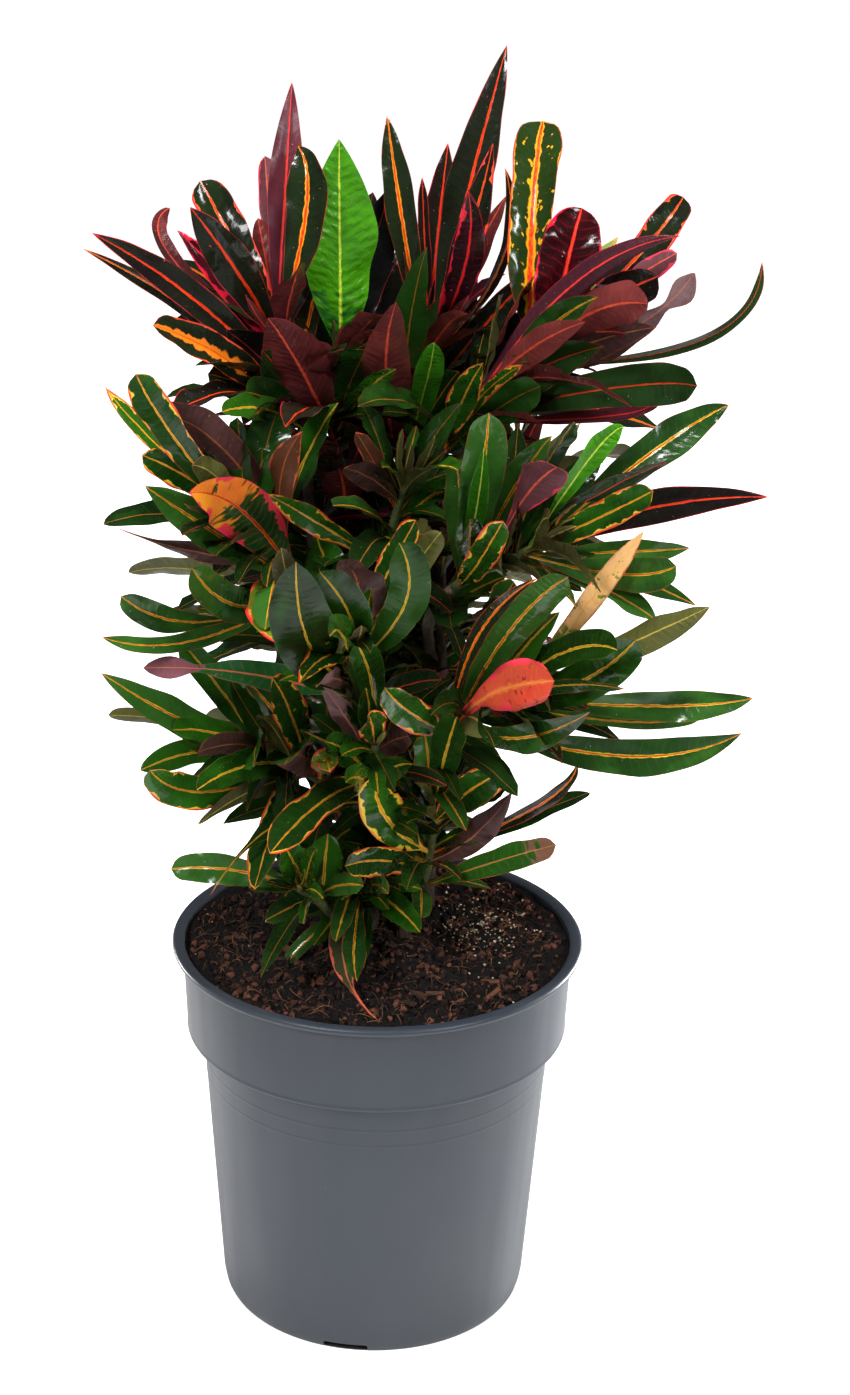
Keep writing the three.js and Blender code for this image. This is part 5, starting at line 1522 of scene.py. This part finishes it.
# one blade: a flat grid bent along the rib, folded, waved and twisted, with a second skin below it
def addBlade(bm, layers, leaf, rows, columns, topSlot, underSlot):
    grid = bmesh.ops.create_grid(bm, x_segments=columns, y_segments=rows, size=1)["verts"]
    top = {face for vert in grid for face in vert.link_faces}
    for face in top:
        face.material_index = topSlot
        face.smooth = True
    edges = {edge for face in top for edge in face.edges}
    lower = bmesh.ops.duplicate(bm, geom=grid + list(edges) + list(top))["geom"]
    under = [face for face in lower if isinstance(face, bmesh.types.BMFace)]
    below = [vert for vert in lower if isinstance(vert, bmesh.types.BMVert)]
    bmesh.ops.reverse_faces(bm, faces=under)
    for face in under:
        face.material_index = underSlot
    length = lengthOf(leaf["rib"])
    lines = bladeRows(leaf, rows)
    for skin, verts in ((1, grid), (-1, below)):
        for vert in verts:
            share, centre, up, side, half, wave = lines[round((vert.co.y + 1) / 2 * rows)]
            out = -math.copysign(abs(vert.co.x) ** leafForm["crowding"], vert.co.x)
            rim = abs(out)
            # no edge runs quite true, and the blade rises and dips on its way
            uneven = noise.noise(Vector((share * 5.5, math.copysign(2.3, out), leaf["lot"] * 60)))
            out *= 1 + leafForm["uneven"] * uneven * min(1, 6 * (1 - share))
            distance = half * rim
            ruffle = leafForm["ruffle"] * math.sin(share * 23 + leaf["phase"] * 3 + out) * rim ** 2
            height = half * (leaf["fold"] * rim ** 1.3 + (wave * out + ruffle) * rim ** 0.6)
            swell = noise.noise(Vector((share * 7, out * 1.6, leaf["lot"] * 80)))
            height += leaf["width"] * leafForm["swell"] * swell * (1 - (2 * share - 1) ** 4)
            stout = max(0, 1 - share / 0.14)
            thick = (leafForm["skin"] + stout * leafForm["stalk"] * 0.7) * (1 - rim ** 2) ** 0.5
            keel = math.exp(-(distance / leafForm["ribWidth"]) ** 2) * (1 - 0.8 * share)
            if skin > 0:
                height += thick - leafForm["channel"] * keel * (1 - stout)
            else:
                height -= thick + leafForm["keel"] * keel * (1 - rim)
            vert.co = centre + side * out * half + up * height
            vert[layers[0]] = Vector((out * half, share * length, half * (1 - rim)))
            vert[layers[1]] = Vector((share, leaf["lot"], 0))
    bmesh.ops.remove_doubles(bm, verts=grid + below, dist=0.002)
    # a leaf of two colours keeps a sharp edge between them
    for edge in {edge for face in top if face.is_valid for edge in face.edges}:
        if topSlot != underSlot and any(face.material_index == underSlot for face in edge.link_faces):
            edge.smooth = False


# a new mesh for blades, with the layers that the leaf pattern reads
def newFoliage():
    bm = bmesh.new()
    return bm, [bm.verts.layers.float_vector.new(label) for label in ("leafPlace", "leafKind")]


# which of a leaf's places the solids took: the one whose tip is a corner of the shoot's node
def takenPlace(corners, leaves):
    for leaf in leaves:
        if corners.find(leaf["rib"][2] * metres)[2] < leafForm["match"] * metres:
            return leaf
    return None


def leafCorners(node):
    mesh = frame["nodes"][node].data
    corners = kdtree.KDTree(len(mesh.vertices))
    for count, vert in enumerate(mesh.vertices):
        corners.insert(vert.co, count)
    corners.balance()
    return corners


# the look of a leaf that no place in the photograph settles
def ruleLook(name, leaf):
    choices = leafForm[("upper" if "crown" in name else "lower") + ("Fill" if leaf["fill"] else "Looks")]
    if "foot" in name:
        choices = leafForm["footLooks"]
    return choices[int(leaf["lot"] * len(choices))]


def addShoot(order, name, shoot):
    corners = leafCorners(name)
    large, small = [], []
    for count, row in enumerate(seen.get(name, ())):
        places = [seenLeaf(shoot, row, 1000 * order + 20 * count, shift) for shift in leafForm["seenShifts"]]
        large.append(takenPlace(corners, places) or places[0])
    for count in range(shoot["grown"]):
        seed = 1000 * order + 500 + 20 * count
        leaf = takenPlace(corners, [grownLeaf(shoot, count, seed, shift) for shift in leafForm["grownShifts"]])
        if leaf:
            large.append(leaf)
    for count, row in enumerate(halfHidden.get(name, ())):
        large.append(seenLeaf(shoot, row, 60000 + 1000 * order + 20 * count))
    for count in range(leafForm["fill"]):
        small.append(fillLeaf(shoot, count, 1000 * order + 700 + 12 * count))
    for count in range(leafForm["buds"]):
        small.append(budLeaf(shoot, count, 1000 * order + 900 + 12 * count))
    bm, layers = newFoliage()
    slots = {}
    for grid, leaves in (("largeGrid", large), ("smallGrid", small)):
        for leaf in leaves:
            usual = ruleLook(name, leaf)
            shown = leaf["look"] or usual
            sides = (usual, shown) if leaf["under"] else (shown, looks[shown]["under"])
            top, under = (slots.setdefault(look, len(slots) + 1) for look in sides)
            addBlade(bm, layers, leaf, *leafForm[grid], top, under)
    shares = stepped(max(6, round(lengthOf(shoot["curve"]) / wood["step"])))
    places = [alongBezier(shoot["curve"], share)[0] for share in shares]
    sweep(bm, places, [between(wood["branch"][1], wood["tip"], share) for share in shares], wood["sides"], 0)
    stem = woodMaterial("stemDarkStem" if "crown" in name else "stemGreenStem", 120)
    finishPiece(name.replace("shoot", "leaves"), bm, [stem, *map(leafMaterial, slots)], slotOf(name), [name])
    return len(large), len(small)


def addInnerLeaves():
    bm, layers = newFoliage()
    tall = [trunk for trunk in trunks.values() if len(trunk["path"]) > 3]
    total = sum(trunk["length"] for trunk in tall)
    slots = {}
    seed = 50000
    for trunk in tall:
        few = round(inner["leaves"] * trunk["length"] / total)
        for count in range(few):
            seed += 12
            share = inner["from"] + (0.99 - inner["from"]) * (count + draw(seed + 5)) / few
            leaf = innerLeaf(trunk, share, count, seed)
            look = ruleLook("crown" if share > inner["upperFrom"] else "low", leaf)
            top, under = (slots.setdefault(kind, len(slots)) for kind in (look, looks[look]["under"]))
            addBlade(bm, layers, leaf, *leafForm["smallGrid"], top, under)
    finishPiece("leaves_inner", bm, [*map(leafMaterial, slots)], slotOf("shoot_mid_core"))


print("woody stems")
growStems()
addTrunks()

print("leaves")
addLeafGroup()
addInnerLeaves()
for order, (name, shoot) in enumerate(shoots.items()):
    counts = addShoot(order, name, shoot)
    print("  ", name, "large leaves", counts[0], "small leaves", counts[1])
